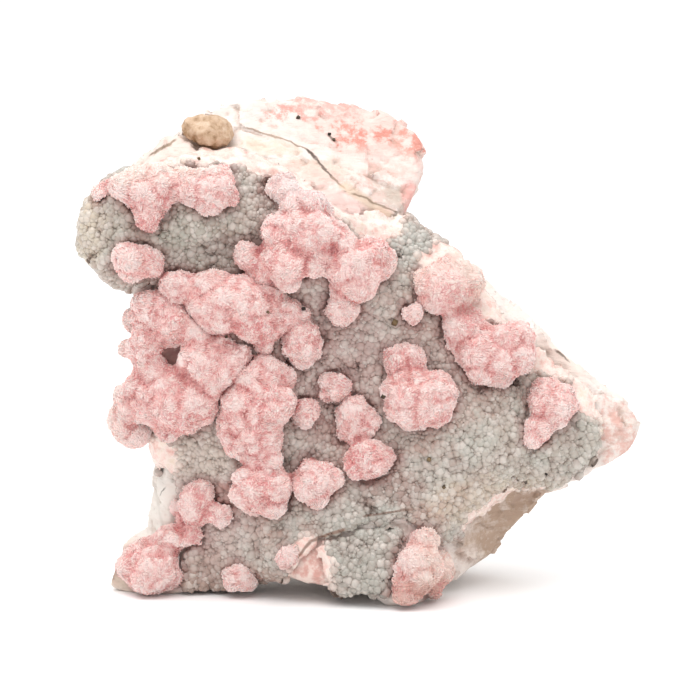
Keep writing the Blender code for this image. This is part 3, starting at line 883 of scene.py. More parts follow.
@dataclass(frozen=True)
class BrokenVeinRock:
    """Banded vein rock, broken by hand. Chalky bands and grainy pink stains cross its dull chipped faces."""

    white: str = "#e9ddd6"
    cream: str = "#e8d8c9"
    rose: str = "#eac4ba"
    grey: str = "#cdbfb5"
    hollow: str = "#b9a192"
    speck: str = "#8a6a58"
    # painted shade where the rock lies against a ball
    ball_shade: str = "#b98c84"
    band_turn: tuple[float, float, float] = (-0.3, 0.38, 0.0)  # radians: how the bands lie in the rock
    band_thick: float = 0.7
    band_long: float = 7.0
    mottle: float = 2.6
    speck_gap: float = 1.7
    speck_share: float = 0.14
    sugar_height: float = 0.45
    patches: tuple[Patch, ...] = (
        Patch((5, 19, 40), (60, 9, 60), "#cdb5a2", 0.45, 0.5, 1.0),
        Patch((-14, 20, 62), (15, 7, 11), "#dba394", 0.7, 0.6, 3.0, 0.3),
        Patch((22, 20, 36), (14, 7, 9), "#b48c70", 0.6, 0.6, 3.0, 0.3),
        Patch((-2, 20, 17), (18, 7, 8), "#dcae9f", 0.6, 0.6, 3.0, 0.3),
        Patch((24, 16, 52), (12, 7, 7), "#e2b2a6", 0.7, 0.6, 3.0, 0.3),
        Patch((-32, 18, 35), (10, 7, 14), "#c3a083", 0.6, 0.6, 3.0, 0.3),
        Patch((5, 8, 83), (18, 10, 10), "#ecc4ba", 0.85, 0.6, 2.0),
        Patch((-1, 6, 81.5), (9, 9, 4.0), "#d98474", 0.9, 0.35, 4.5, 0.7),
        Patch((9, 6, 80), (6, 9, 5.0), "#de9080", 0.9, 0.35, 4.5, 0.7),
        Patch((-14, 7.4, 85), (7, 9, 3.0), "#e08f82", 0.8, 0.35, 4.5, 0.8),
        Patch((-2, 11, 87), (15, 10, 3.0), "#e3a096", 0.8, 0.5, 4.0, 0.4),
        Patch((4, 2, 75), (8, 8, 6.0), "#eac3b9", 0.8, 0.4, 5.0, 0.8),
        Patch((5.4, -1.4, 70.5), (4.5, 4, 2.6), "#bfae9f", 0.85, 0.5, 3.5, 0.3),
        Patch((8.6, -1, 69.5), (1.8, 5, 4.0), "#e6aba2", 0.9, 0.3, 1.0),
        Patch((-8, -2, 75.5), (8, 5, 3.0), "#dfcbb8", 0.7, 0.5, 3.0, 0.3),
        Patch((-10, -4, 73.5), (9, 5, 4.0), "#e6c0b6", 0.8, 0.5, 4.0, 0.3),
        Patch((-3.5, -7, 69.5), (10, 5, 4.5), "#e8c6be", 0.9, 0.5, 3.0),
        Patch((-18, 0, 79.5), (8, 5, 2.2), "#e0cdb6", 0.7, 0.5, 3.0, 0.3),
        Patch((-36, -2, 79), (9, 6, 3), "#ebd6cb", 0.8, 0.5),
        Patch((45.5, -4.5, 30), (6, 6, 9), "#d6a294", 0.8, 0.5, 4.5, 0.5),
        Patch((36, -1.5, 42), (9, 5, 4), "#ecd6ca", 0.7, 0.6),
        Patch((-9.5, -16, 8), (7, 7, 7), "#ead2c7", 0.85, 0.4),
        Patch((-9.5, -16, 8), (8, 8, 8), "#d4978b", 0.8, 0.5, 5.0, 0.8),
        Patch((27, 0, 11), (12, 12, 8), "#a8896f", 0.85, 0.4, 1.5),
        Patch((-37, -2, 16), (5, 7, 9), "#ebe5dd", 0.8, 0.5, 1.0),
        Patch((-43, -6, 4), (7, 9, 4), "#d3bfab", 0.8, 0.5),
        # painted shade in the shadowed hollow beside the left balls
        Patch((-33, -11.5, 44), (4.5, 5, 4.5), "#7d4e4b", 0.95, 0.4, 1.0),
    )
    streaks: tuple[Streak, ...] = (
        Streak((-38, -3, 78), (-33.2, -2.5, 80.8), 0.25, "#8a7358"),
        Streak((-21.1, 2.6, 82.7), (-13.2, 3.0, 80.5), 0.2, "#9a826d"),
        Streak((-13.2, 3.0, 80.5), (-10.0, 1.8, 78.8), 0.2, "#8d7663"),
        Streak((-10.4, 1.9, 79.0), (-8.5, 0.6, 77.3), 0.28, "#4f3d30", 0.95),
        Streak((-8.5, 0.6, 77.3), (-5.7, -1.9, 74.2), 0.22, "#66544a", 0.9),
        Streak((-5.7, -1.9, 74.2), (-3.4, -3.7, 72.6), 0.22, "#8d7663"),
        Streak((-4.0, -3.0, 73.2), (5.6, -5.2, 66.7), 0.9, "#d2b799", 0.6),
        Streak((-2.0, -3.4, 71.6), (6.0, -4.0, 68.0), 0.2, "#8b7460"),
        Streak((-6.5, 5.0, 81.7), (-5.0, 4.0, 80.3), 0.3, "#77655a", 0.9),
        Streak((-22, 21, 74), (10, 21, 55), 0.5, "#f2ebe5", 0.7),
        Streak((-24, 21, 50), (6, 21, 36), 0.35, "#a3836c", 0.7),
        Streak((4, 21, 48), (32, 19, 26), 0.4, "#efe6df", 0.7),
        Streak((-18, 21, 30), (10, 21, 12), 0.3, "#a98a76", 0.7),
        Streak((34.5, -1.3, 43.2), (37.0, -1.4, 41.2), 0.25, "#6d5c50", 0.9),
        Streak((-36.7, -3.6, 17.2), (-35.5, -4.6, 18.8), 0.14, "#7a6e66", 0.8),
        Streak((-39, -1.5, 22), (-35.5, -3.5, 10), 0.3, "#d6cec5", 0.6),
    )
    roughness: tuple[float, float] = (0.55, 0.85)
    ior: float = 1.53

    def material(self) -> bpy.types.Material:
        """Make the finish of the host rock.

        Returns:
            The material.
        """
        made, tree, output = new_material("vein_rock_hand_broken")
        place = object_place(tree, wander=1.6, wander_size=9.0)
        still = object_place(tree)
        grain = fine_grain(tree, still, self.mottle)
        relief, beside = marks_of(tree, Mark.RELIEF, Mark.NEAR)
        squeeze = (1 / self.band_long, 1 / self.band_long, 1 / self.band_thick)
        laid = {"Vector": place, "Rotation": self.band_turn, "Scale": squeeze}
        laid = add_node(tree, "ShaderNodeMapping", laid)
        layers = {"Vector": laid, "Scale": 1.0, "Detail": 5.0, "Roughness": 0.7}
        bands = add_node(tree, "ShaderNodeTexNoise", layers)
        blotched = add_node(tree, "ShaderNodeMath", {0: grain, 1: 0.55, 2: bands}, operation="MULTIPLY_ADD")
        tones = tuple(
            zip((0.24, 0.4, 0.56, 0.66, 0.82), (self.rose, self.white, self.white, self.cream, self.grey))
        )
        colour = add_node(tree, "ShaderNodeValToRGB", {"Fac": blotched}, stops=tones)
        for patch in self.patches:
            colour = patch.over(tree, place, colour, grain)
        colour = wash(tree, colour, self.white, grain, 0.36, 0.62, 0.65, bands, 0.7)
        colour = wash(tree, colour, self.hollow, relief, 0.5, 0.1, 0.55, grain, 0.9)
        dots = add_node(tree, "ShaderNodeTexVoronoi", {"Vector": still, "Scale": 1 / self.speck_gap})
        luck = {0: dots.outputs["Color"], 1: 1 - self.speck_share}
        rare = add_node(tree, "ShaderNodeMath", luck, operation="GREATER_THAN")
        inside = {"Value": dots.outputs["Distance"], "From Min": 0.17, "From Max": 0.07, "To Max": 0.6}
        inside = add_node(tree, "ShaderNodeMapRange", inside)
        pepper = add_node(tree, "ShaderNodeMath", {0: rare, 1: inside}, operation="MULTIPLY")
        layers = {"Factor": pepper, "A": colour, "B": self.speck}
        colour = add_node(tree, "ShaderNodeMix", layers, data_type="RGBA")
        wavy = object_place(tree, wander=0.7, wander_size=2.5)
        for streak in self.streaks:
            colour = streak.over(tree, wavy, colour)
        # Painted shade where the rock lies against a ball.
        colour = wash(tree, colour, self.ball_shade, beside, 0.2, 1.1, 0.8, grain, 1.0)
        smooth, dull = self.roughness
        ends = {"Value": bands, "From Min": 0.3, "From Max": 0.7, "To Min": smooth, "To Max": dull}
        rough = add_node(tree, "ShaderNodeMapRange", ends)
        sugar = add_node(tree, "ShaderNodeMath", {0: grain, 1: 0.6, 2: bands}, operation="MULTIPLY_ADD")
        bump = {"Height": sugar, "Strength": 0.7, "Distance": self.sugar_height * MM}
        bump = add_node(tree, "ShaderNodeBump", bump)
        add_surface(tree, output, {"Base Color": colour, "Normal": bump, "Roughness": rough, "IOR": self.ior})
        return made


@dataclass(frozen=True)
class WornChert:
    """Brown chert, a pebble worn round. Its rind is mottled tan, darker where iron rust has tinted it."""

    tan: str = "#c9aa8d"
    pale: str = "#dcc5ad"
    rust: str = "#96734f"
    mottle: float = 1.8
    roughness: float = 0.62
    ior: float = 1.53
    rust_grain: float = 1.2
    rusty: Patch = Patch((-25.5, 3.5, 86), (5.5, 6, 2.0), "#96734f", 0.5, 0.6)

    def material(self) -> bpy.types.Material:
        """Make the finish of the brown pebble.

        Returns:
            The material.
        """
        made, tree, output = new_material("chert_worn_pebble")
        place = object_place(tree, wander=0.8, wander_size=2.5)
        spots = {"Vector": place, "Scale": 1 / self.mottle, "Detail": 5.0, "Roughness": 0.65}
        mottle = add_node(tree, "ShaderNodeTexNoise", spots)
        tones = ((0.32, self.rust), (0.5, self.tan), (0.68, self.pale))
        colour = add_node(tree, "ShaderNodeValToRGB", {"Fac": mottle}, stops=tones)
        colour = self.rusty.over(tree, place, colour, fine_grain(tree, place, self.rust_grain))
        bump = add_node(tree, "ShaderNodeBump", {"Height": mottle, "Strength": 0.8, "Distance": 0.4 * MM})
        surface = {"Base Color": colour, "Normal": bump, "Roughness": self.roughness, "IOR": self.ior}
        add_surface(tree, output, surface)
        return made


@dataclass(frozen=True)
class GrownSulphide:
    """Galena as it grew, in tiny cubes. They read as near-black grains with a grey glint."""

    dark: str = "#35302c"
    bright: str = "#7d6a4e"
    roughness: float = 0.38
    tarnish_size: float = 4.0

    def material(self) -> bpy.types.Material:
        """Make the finish of the dark grains.

        Returns:
            The material.
        """
        made, tree, output = new_material("galena_grown_cubes")
        spots = {"Vector": object_place(tree), "Scale": 1 / self.tarnish_size, "Detail": 4.0}
        tarnish = add_node(tree, "ShaderNodeTexNoise", spots)
        tones = ((0.42, self.dark), (0.6, self.bright))
        colour = add_node(tree, "ShaderNodeValToRGB", {"Fac": tarnish}, stops=tones)
        add_surface(tree, output, {"Base Color": colour, "Metallic": 0.6, "Roughness": self.roughness})
        return made


@dataclass(frozen=True)
class StudioPaper:
    """White background paper, rolled smooth. It stays white but for the soft shadow under the rock."""

    white: str = "#fbfbfb"
    fibre: float = 0.8
    roughness: float = 0.9

    def material(self) -> bpy.types.Material:
        """Make the finish of the floor.

        Returns:
            The material.
        """
        made, tree, output = new_material("paper_rolled_white")
        fibres = add_node(tree, "ShaderNodeTexNoise", {"Vector": object_place(tree), "Scale": 1 / self.fibre})
        bump = add_node(tree, "ShaderNodeBump", {"Height": fibres, "Strength": 0.05, "Distance": 0.02 * MM})
        add_surface(tree, output, {"Base Color": self.white, "Normal": bump, "Roughness": self.roughness})
        return made


# ---------------------------------------------------------------- sub-assemblies


@dataclass
class RhodochrositeBalls:
    """The pink balls, each group a rounded body in lobes that is set all over with small curved blades.

    Attributes:
        soft_voxel: Edge of the even mesh that rounds the solid's facets off.
        fine_voxel: Edge of the mesh that takes the relief.
        lobe: Width of a lobe.
        lobe_height: How far a lobe stands out.
        lobe_warp: How far the lobes are pushed out of shape.
        knob: Width of the knobs on a lobe.
        knob_height: How far a knob stands out.
        ripple: Width of the wrinkles on a knob.
        ripple_height: How far a wrinkle stands out.
        sunk: How far the creases lie below the solid's surface.
        blade_size: Length, thickness and height of a blade.
        blade_bow: How far a blade's middle bows out.
        blade_gap: Least distance between two blades.
        size_range: Least and greatest size of a blade, as a share of blade_size.
        blade_lean: How far a blade leans away from the middle of its lobe.
        crevice: A ball turns darker, in painted shade, where another is closer than this.
        pressed: How far a ball swells where it presses on another.
        covered: A blade with something closer than this over it is left out.
        clear_of_floor: No blade stands lower than this.
        filled: Places (x, y, z) where a ball swells to meet its neighbour, and how far from each.
        fill_height: How far it swells there.
    """

    soft_voxel: float = 0.5
    fine_voxel: float = 0.26
    lobe: float = 4.6
    lobe_height: float = 0.95
    lobe_warp: float = 0.8
    knob: float = 2.1
    knob_height: float = 0.26
    ripple: float = 0.8
    ripple_height: float = 0.2
    sunk: float = 0.62
    blade_size: tuple[float, float, float] = (0.75, 0.2, 0.3)
    blade_bow: float = 0.12
    blade_gap: float = 0.36
    size_range: tuple[float, float] = (0.65, 1.35)
    blade_lean: float = 0.35
    crevice: float = 1.3
    pressed: float = 0.55
    covered: float = 0.5
    clear_of_floor: float = 0.6
    filled: tuple[tuple[float, float, float, float], ...] = ((-39.8, -8.0, 30.2, 5.0),)
    fill_height: float = 1.5

    def blade(self) -> Piece:
        """Model one curved blade on the origin, its foot a little below z = 0.

        Returns:
            The blade, which is copied over the balls and then deleted.
        """
        length, thick, height = (side * MM for side in self.blade_size)
        deselect_all()
        bpy.ops.mesh.primitive_cube_add(size=1.0)
        blade = bpy.context.active_object
        blade.name = "blade"
        blade.scale = (length, thick, height)
        bpy.ops.object.transform_apply(location=True, rotation=True, scale=True)
        halved = {"plane_co": (0, 0, 0), "plane_no": (1, 0, 0)}
        edit_where(blade, lambda at: True, (bpy.ops.mesh.bisect, halved))
        edit_where(blade, lambda at: at.z < 0, (bpy.ops.mesh.delete, {"type": "ONLY_FACE"}))
        pinched = {"value": (0.55, 0.0, 1.0), "center_override": (0, 0, 0)}
        edit_where(
            blade,
            lambda at: at.z > 0,
            (bpy.ops.transform.resize, pinched),
            (bpy.ops.mesh.remove_doubles, {"threshold": MERGE_DISTANCE}),
        )
        off_middle = 0.1 * length
        moves = (
            (lambda at: at.z > 0 and abs(at.x) > off_middle, (0, 0, -0.4 * height)),
            (lambda at: abs(at.x) < off_middle, (0, self.blade_bow * MM, 0)),
            (lambda at: True, (0, 0, 0.35 * height)),
        )
        for wanted, way in moves:
            edit_where(blade, wanted, (bpy.ops.transform.translate, {"value": way}))
        return blade

    def relief(self, tree: Tree) -> tuple[Node, Node, Node, Socket]:
        """Lay out the lobes, knobs and wrinkles of a ball.

        Args:
            tree: The modifier's tree.

        Returns:
            The nodes that give the height, the wrinkles and the place that the lobes are laid out on,
            and the output that gives the middle of each lobe.
        """
        place = add_node(tree, "GeometryNodeInputPosition")
        warped = wandered(tree, place, self.lobe * MM, self.lobe_warp * MM, detail=1.0, centred=False)
        height, middles = None, []
        for width, rise in ((self.lobe, self.lobe_height), (self.knob, self.knob_height)):
            packed = {"Vector": warped, "Scale": 1 / (width * MM), "Randomness": 0.9}
            cells = add_node(tree, "ShaderNodeTexVoronoi", packed)
            middles.append(cells.outputs["Position"])
            curved = add_node(tree, "ShaderNodeMath", {0: cells, 1: 2.5}, operation="POWER")
            ends = {"Value": curved, "From Min": 0.35, "From Max": 0.0}
            crown = add_node(tree, "ShaderNodeMapRange", ends)
            rising = {0: crown, 1: rise * MM, 2: -self.sunk * MM if height is None else height}
            height = add_node(tree, "ShaderNodeMath", rising, operation="MULTIPLY_ADD")
        curl = {"Vector": place, "Scale": 1 / (self.ripple * MM), "Detail": 2.0, "Distortion": 1.2}
        lines = add_node(tree, "ShaderNodeTexNoise", curl)
        off_line = add_node(tree, "ShaderNodeMath", {0: lines, 1: 0.5}, operation="SUBTRACT")
        off_line = add_node(tree, "ShaderNodeMath", {0: off_line}, operation="ABSOLUTE")
        ends = {"Value": off_line, "From Min": 0.2, "From Max": 0.0}
        ripple = add_node(tree, "ShaderNodeMapRange", ends)
        rising = {0: ripple, 1: self.ripple_height * MM, 2: height}
        height = add_node(tree, "ShaderNodeMath", rising, operation="MULTIPLY_ADD")
        for *middle, reach in self.filled:
            middle = tuple(side * MM for side in middle)
            away = add_node(tree, "ShaderNodeVectorMath", {0: place, 1: middle}, operation="DISTANCE")
            ends = {"Value": away.outputs["Value"], "From Min": reach * MM, "From Max": 0.0}
            swell = add_node(tree, "ShaderNodeMapRange", ends | {"To Max": self.fill_height * MM})
            height = add_node(tree, "ShaderNodeMath", {0: height, 1: swell}, operation="ADD")
        return height, ripple, warped, middles[0]

    def growth(self, blade: Piece, rivals: Piece, cover: Piece) -> Tree:
        """Lay out the shape of a ball and the blades on it.

        Args:
            blade: The blade that is set over the ball.
            rivals: The other balls, against which it darkens in painted shade and presses.
            cover: Everything else, under which no blade is set.

        Returns:
            The tree of the modifier that grows them.
        """
        tree, source, sink = new_modifier_tree("rhodochrosite_growth")
        height, ripple, warped, middle = self.relief(tree)
        from_rival = distance_to(tree, rivals)
        ends = {"Value": from_rival, "From Min": self.crevice * MM, "From Max": 0.0}
        pressed = add_node(tree, "ShaderNodeMapRange", ends | {"To Max": self.pressed * MM})
        height = add_node(tree, "ShaderNodeMath", {0: height, 1: pressed}, operation="ADD")
        body = displaced(tree, source, height, floor=0.4)
        # Where another ball is close, which the material darkens with painted shade.
        near = add_node(tree, "ShaderNodeMapRange", ends | {"From Max": 0.2 * MM})
        # Crowns and creases of the lobes, which the material turns to painted highlight and painted shade.
        crest = crest_of(tree, 26, -0.36, 0.26)
        marks = {Mark.LOBE: crest, Mark.RIPPLE: ripple, Mark.BLADE: 0.3, Mark.SHADE: 0.3, Mark.NEAR: near}
        body = marked(tree, body, marks)
        leaf = add_node(tree, "GeometryNodeObjectInfo", {"Object": blade}).outputs["Geometry"]
        place = add_node(tree, "GeometryNodeInputPosition")
        up = add_node(tree, "ShaderNodeSeparateXYZ", {0: place}).outputs["Z"]
        # Blade edges, which the material turns to painted highlight.
        ends = {"Value": up, "From Min": 0.0, "From Max": 0.8 * self.blade_size[2] * MM}
        leaf = marked(tree, leaf, {Mark.BLADE: add_node(tree, "ShaderNodeMapRange", ends)})
        feet, normal = feet_on(
            tree, body, self.blade_gap, 7, cover, self.covered, self.clear_of_floor
        )
        apart = {"Min": (-0.28,) * 3, "Max": (0.28,) * 3, "Seed": 3}
        jitter = add_node(tree, "FunctionNodeRandomValue", apart, data_type="FLOAT_VECTOR")
        outward = add_node(tree, "ShaderNodeVectorMath", {0: warped, 1: middle}, operation="SUBTRACT")
        outward = add_node(tree, "ShaderNodeVectorMath", {0: outward}, operation="NORMALIZE")
        lean = add_node(tree, "ShaderNodeVectorMath", {0: normal, 1: jitter}, operation="ADD")
        lean = {0: outward, 1: (self.blade_lean,) * 3, 2: lean}
        lean = add_node(tree, "ShaderNodeVectorMath", lean, operation="MULTIPLY_ADD")
        upright = add_node(tree, "FunctionNodeAlignRotationToVector", {"Vector": lean}, axis="Z")
        aside = add_node(tree, "ShaderNodeVectorMath", {0: jitter, 1: outward}, operation="ADD")
        aside = {"Rotation": upright, "Vector": aside}
        turned = add_node(tree, "FunctionNodeAlignRotationToVector", aside, axis="X", pivot_axis="Z")
        plant(tree, sink, body, feet, leaf, turned, self.size_range)
        return tree

    def build(self, finish: GrownRhodochrosite) -> None:
        """Dress every group of balls.

        Args:
            finish: The finish they get.
        """
        material = finish.material()
        blade = self.blade()
        for node_name in sorted(name for name in frame["nodes"] if name.startswith(BALL_PREFIX)):
            rivals = copy_of_balls("rivals", without=node_name)
            cover = copy_of([name for name in frame["nodes"] if name != node_name], "cover")
            piece = copy_of([node_name], node_name.removeprefix(BALL_PREFIX) + "_blades")
            round_off(piece, self.soft_voxel, 4)
            apply_modifier(piece, "REMESH", mode="VOXEL", voxel_size=self.fine_voxel * MM)
            apply_modifier(piece, "NODES", node_group=self.growth(blade, rivals, cover))
            dress(piece, material, Slot.RHODOCHROSITE, node_name, angle=60.0)
            for obj in (rivals, cover):
                bpy.data.objects.remove(obj)
        bpy.data.objects.remove(blade)


@dataclass
class QuartzDruse:
    """The skin of quartz on the rock, an uneven base that is set all over with blunt crystals.

    Attributes:
        nodes: The CAD nodes of the skin.
        base_voxel: Edge of the base's even mesh.
        crystal_radius: Half the width of a crystal.
        crystal_height: Length of its prism.
        crystal_tip: Length of its blunt point.
        crystal_sunk: How much of the prism is in the base.
        crystal_gap: Least distance between two crystals.
        size_range: Least and greatest size of a crystal.
        lump: Width of the lumps in the skin.
        lump_height: How far they rise from the hollows between them.
        ball_shade: How far from a ball the quartz gets painted shade.
        covered: A crystal with something closer than this over it is left out.
        clear_of_floor: No crystal stands lower than this.
        bare: Smooth parts of the skin: the middle (x, y, z) of each and its reach along x, y and z.
        cuts: The great skin is cut at these x into pieces of less weight.
    """

    nodes: tuple[str, ...] = ("quartz_druse", "ledge_druse")
    base_voxel: float = 0.6
    crystal_radius: float = 0.68
    crystal_height: float = 0.85
    crystal_tip: float = 0.38
    crystal_sunk: float = 0.74
    crystal_gap: float = 0.56
    size_range: tuple[float, float] = (0.45, 1.4)
    lump: float = 4.0
    lump_height: float = 1.1
    ball_shade: float = 1.7
    covered: float = 0.9
    clear_of_floor: float = 1.0
    bare: tuple[tuple[float, float, float, float, float, float], ...] = (
        (-37, -3, 79.5, 9, 8, 3.6),
        (-28, -4.5, 79.5, 9, 8, 3.2),
        (-17, -3, 78.5, 8, 7, 4.5),
        (-10, -3, 76, 8, 7, 4.5),
        (-4, -6, 71.5, 8, 8, 5.0),
        (2.5, -6.5, 67, 5, 8, 4.0),
        (16, -6, 59, 6.5, 7, 4.0),
        (25, -3.5, 52.5, 8, 7, 4.5),
        (34, -3.5, 43.5, 8, 7, 4.5),
        (42, -4, 36, 6, 7, 5),
        (46.5, -5, 29, 4.5, 7, 7),
        (-9.5, -16, 7, 4.5, 6, 5.5),
        (29, -5, 16.8, 12, 5, 2.2),
        (21, -8, 13.5, 4, 5, 3.0),
        (-36, -6, 25, 3, 6, 4),
    )
    cuts: tuple[float, ...] = (-18.0, 10.0)

    def crystal(self) -> Piece:
        """Model one blunt six-sided crystal on the origin, partly below z = 0.

        Returns:
            The crystal, which is copied over the skin and then deleted.
        """
        deselect_all()
        radius, depth = self.crystal_radius * MM, self.crystal_height * MM
        middle = (self.crystal_height / 2 - self.crystal_sunk) * MM
        bpy.ops.mesh.primitive_cylinder_add(vertices=6, radius=radius, depth=depth, location=(0, 0, middle))
        crystal = bpy.context.active_object
        crystal.name = "crystal"
        bpy.ops.object.transform_apply(location=True, rotation=True, scale=True)
        edit_where(crystal, lambda at: at.z < middle, (bpy.ops.mesh.delete, {"type": "ONLY_FACE"}))
        edit_where(
            crystal,
            lambda at: at.z > middle,
            (bpy.ops.mesh.inset, {"thickness": 0.6 * radius}),
            (bpy.ops.transform.translate, {"value": (0, 0, self.crystal_tip * MM)}),
        )
        return crystal

    def off_bare(self, tree: Tree) -> Node:
        """Measure how far a point of the skin is from its bare parts.

        Args:
            tree: The modifier's tree.

        Returns:
            The node that gives the distance, 1 on the rim of the nearest.
        """
        place = add_node(tree, "GeometryNodeInputPosition")
        wandering = wandered(tree, place, 3 * MM, 5 * MM)
        nearest = None
        for spot in self.bare:
            middle, reach = (tuple(side * MM for side in half) for half in (spot[:3], spot[3:]))
            local = add_node(tree, "ShaderNodeVectorMath", {0: wandering, 1: middle}, operation="SUBTRACT")
            local = add_node(tree, "ShaderNodeVectorMath", {0: local, 1: reach}, operation="DIVIDE")
            away = add_node(tree, "ShaderNodeVectorMath", {0: local}, operation="LENGTH").outputs["Value"]
            both = {0: nearest or away, 1: away}
            nearest = add_node(tree, "ShaderNodeMath", both, operation="MINIMUM")
        return nearest

    def growth(self, crystal: Piece, cover: Piece, balls: Piece) -> Tree:
        """Lay out the crystals on the skin.

        Args:
            crystal: The crystal that is set over the skin.
            cover: The rock and the balls, under which no crystal is set.
            balls: The balls alone.

        Returns:
            The tree of the modifier that grows them.
        """
        tree, source, sink = new_modifier_tree("quartz_growth")
        place = add_node(tree, "GeometryNodeInputPosition")
        off_bare = self.off_bare(tree)
        smooth = {"Value": off_bare, "From Min": 1.2, "From Max": 0.85}
        smooth = add_node(tree, "ShaderNodeMapRange", smooth)
        spread = {"Vector": place, "Scale": 1 / (self.lump * MM), "Detail": 2.0}
        lumps = add_node(tree, "ShaderNodeTexNoise", spread)
        hollow = add_node(tree, "ShaderNodeMapRange", {"Value": lumps, "From Min": 0.55, "From Max": 0.35})
        low, high = -0.7 * self.lump_height * MM, 0.3 * self.lump_height * MM
        ends = {"Value": lumps, "From Min": 0.3, "From Max": 0.65, "To Min": low, "To Max": high}
        base = displaced(tree, source, add_node(tree, "ShaderNodeMapRange", ends), floor=0.3)
        # Closeness to the balls, which the material darkens with painted shade.
        ends = {"Value": distance_to(tree, balls), "From Min": self.ball_shade * MM, "From Max": 0.3 * MM}
        near = add_node(tree, "ShaderNodeMapRange", ends)
        marks = {Mark.TIP: 0.2, Mark.SHADE: 0.4, Mark.NEAR: near, Mark.HOLLOW: hollow, Mark.BARE: smooth}
        base = marked(tree, base, marks)
        shape = add_node(tree, "GeometryNodeObjectInfo", {"Object": crystal}).outputs["Geometry"]
        up = add_node(tree, "ShaderNodeSeparateXYZ", {0: place}).outputs["Z"]
        top = self.crystal_height + self.crystal_tip - self.crystal_sunk
        ends = {"Value": up, "From Min": -self.crystal_sunk * MM, "From Max": top * MM}
        shape = marked(tree, shape, {Mark.TIP: add_node(tree, "ShaderNodeMapRange", ends)})
        on_bare = add_node(tree, "ShaderNodeMath", {0: off_bare, 1: 1.0}, operation="LESS_THAN")
        feet, normal = feet_on(
            tree, base, self.crystal_gap, 2, cover, self.covered, self.clear_of_floor, on_bare
        )
        apart = {"Min": (-0.5,) * 3, "Max": (0.5,) * 3, "Seed": 3}
        jitter = add_node(tree, "FunctionNodeRandomValue", apart, data_type="FLOAT_VECTOR")
        lean = add_node(tree, "ShaderNodeVectorMath", {0: normal, 1: jitter}, operation="ADD")
        upright = add_node(tree, "FunctionNodeAlignRotationToVector", {"Vector": lean}, axis="Z")
        turn = {"Min": 0.0, "Max": math.pi, "Seed": 4}
        turn = add_node(tree, "FunctionNodeRandomValue", turn, data_type="FLOAT")
        spin = {"Axis": (0.0, 0.0, 1.0), "Angle": turn}
        spin = {"Rotation": upright, "Rotate By": add_node(tree, "FunctionNodeAxisAngleToRotation", spin)}
        turned = add_node(tree, "FunctionNodeRotateRotation", spin, rotation_space="LOCAL")
        plant(tree, sink, base, feet, shape, turned, self.size_range)
        return tree

    def build(self, finish: DrusyQuartz) -> None:
        """Dress the two skins of quartz.

        Args:
            finish: The finish they get.
        """
        material = finish.material()
        crystal = self.crystal()
        cover = copy_of([name for name in frame["nodes"] if name not in self.nodes], "cover")
        balls = copy_of_balls("balls")
        growth = self.growth(crystal, cover, balls)
        for node_name in self.nodes:
            piece = copy_of([node_name], node_name + "_crystals")
            round_off(piece, self.base_voxel, 2)
            apply_modifier(piece, "NODES", node_group=growth)
            for number, cut in enumerate(self.cuts if node_name == self.nodes[0] else ()):
                split = (bpy.ops.mesh.separate, {"type": "SELECTED"})
                edit_where(piece, lambda at, limit=cut * MM: at.x < limit, split)
                part = next(obj for obj in bpy.context.selected_objects if obj is not piece)
                part.name = part.data.name = f"{node_name}_crystals_{number + 1}"
                dress(part, material, Slot.QUARTZ, node_name, angle=75.0)
            dress(piece, material, Slot.QUARTZ, node_name, angle=75.0)
        for obj in (crystal, cover, balls):
            bpy.data.objects.remove(obj)


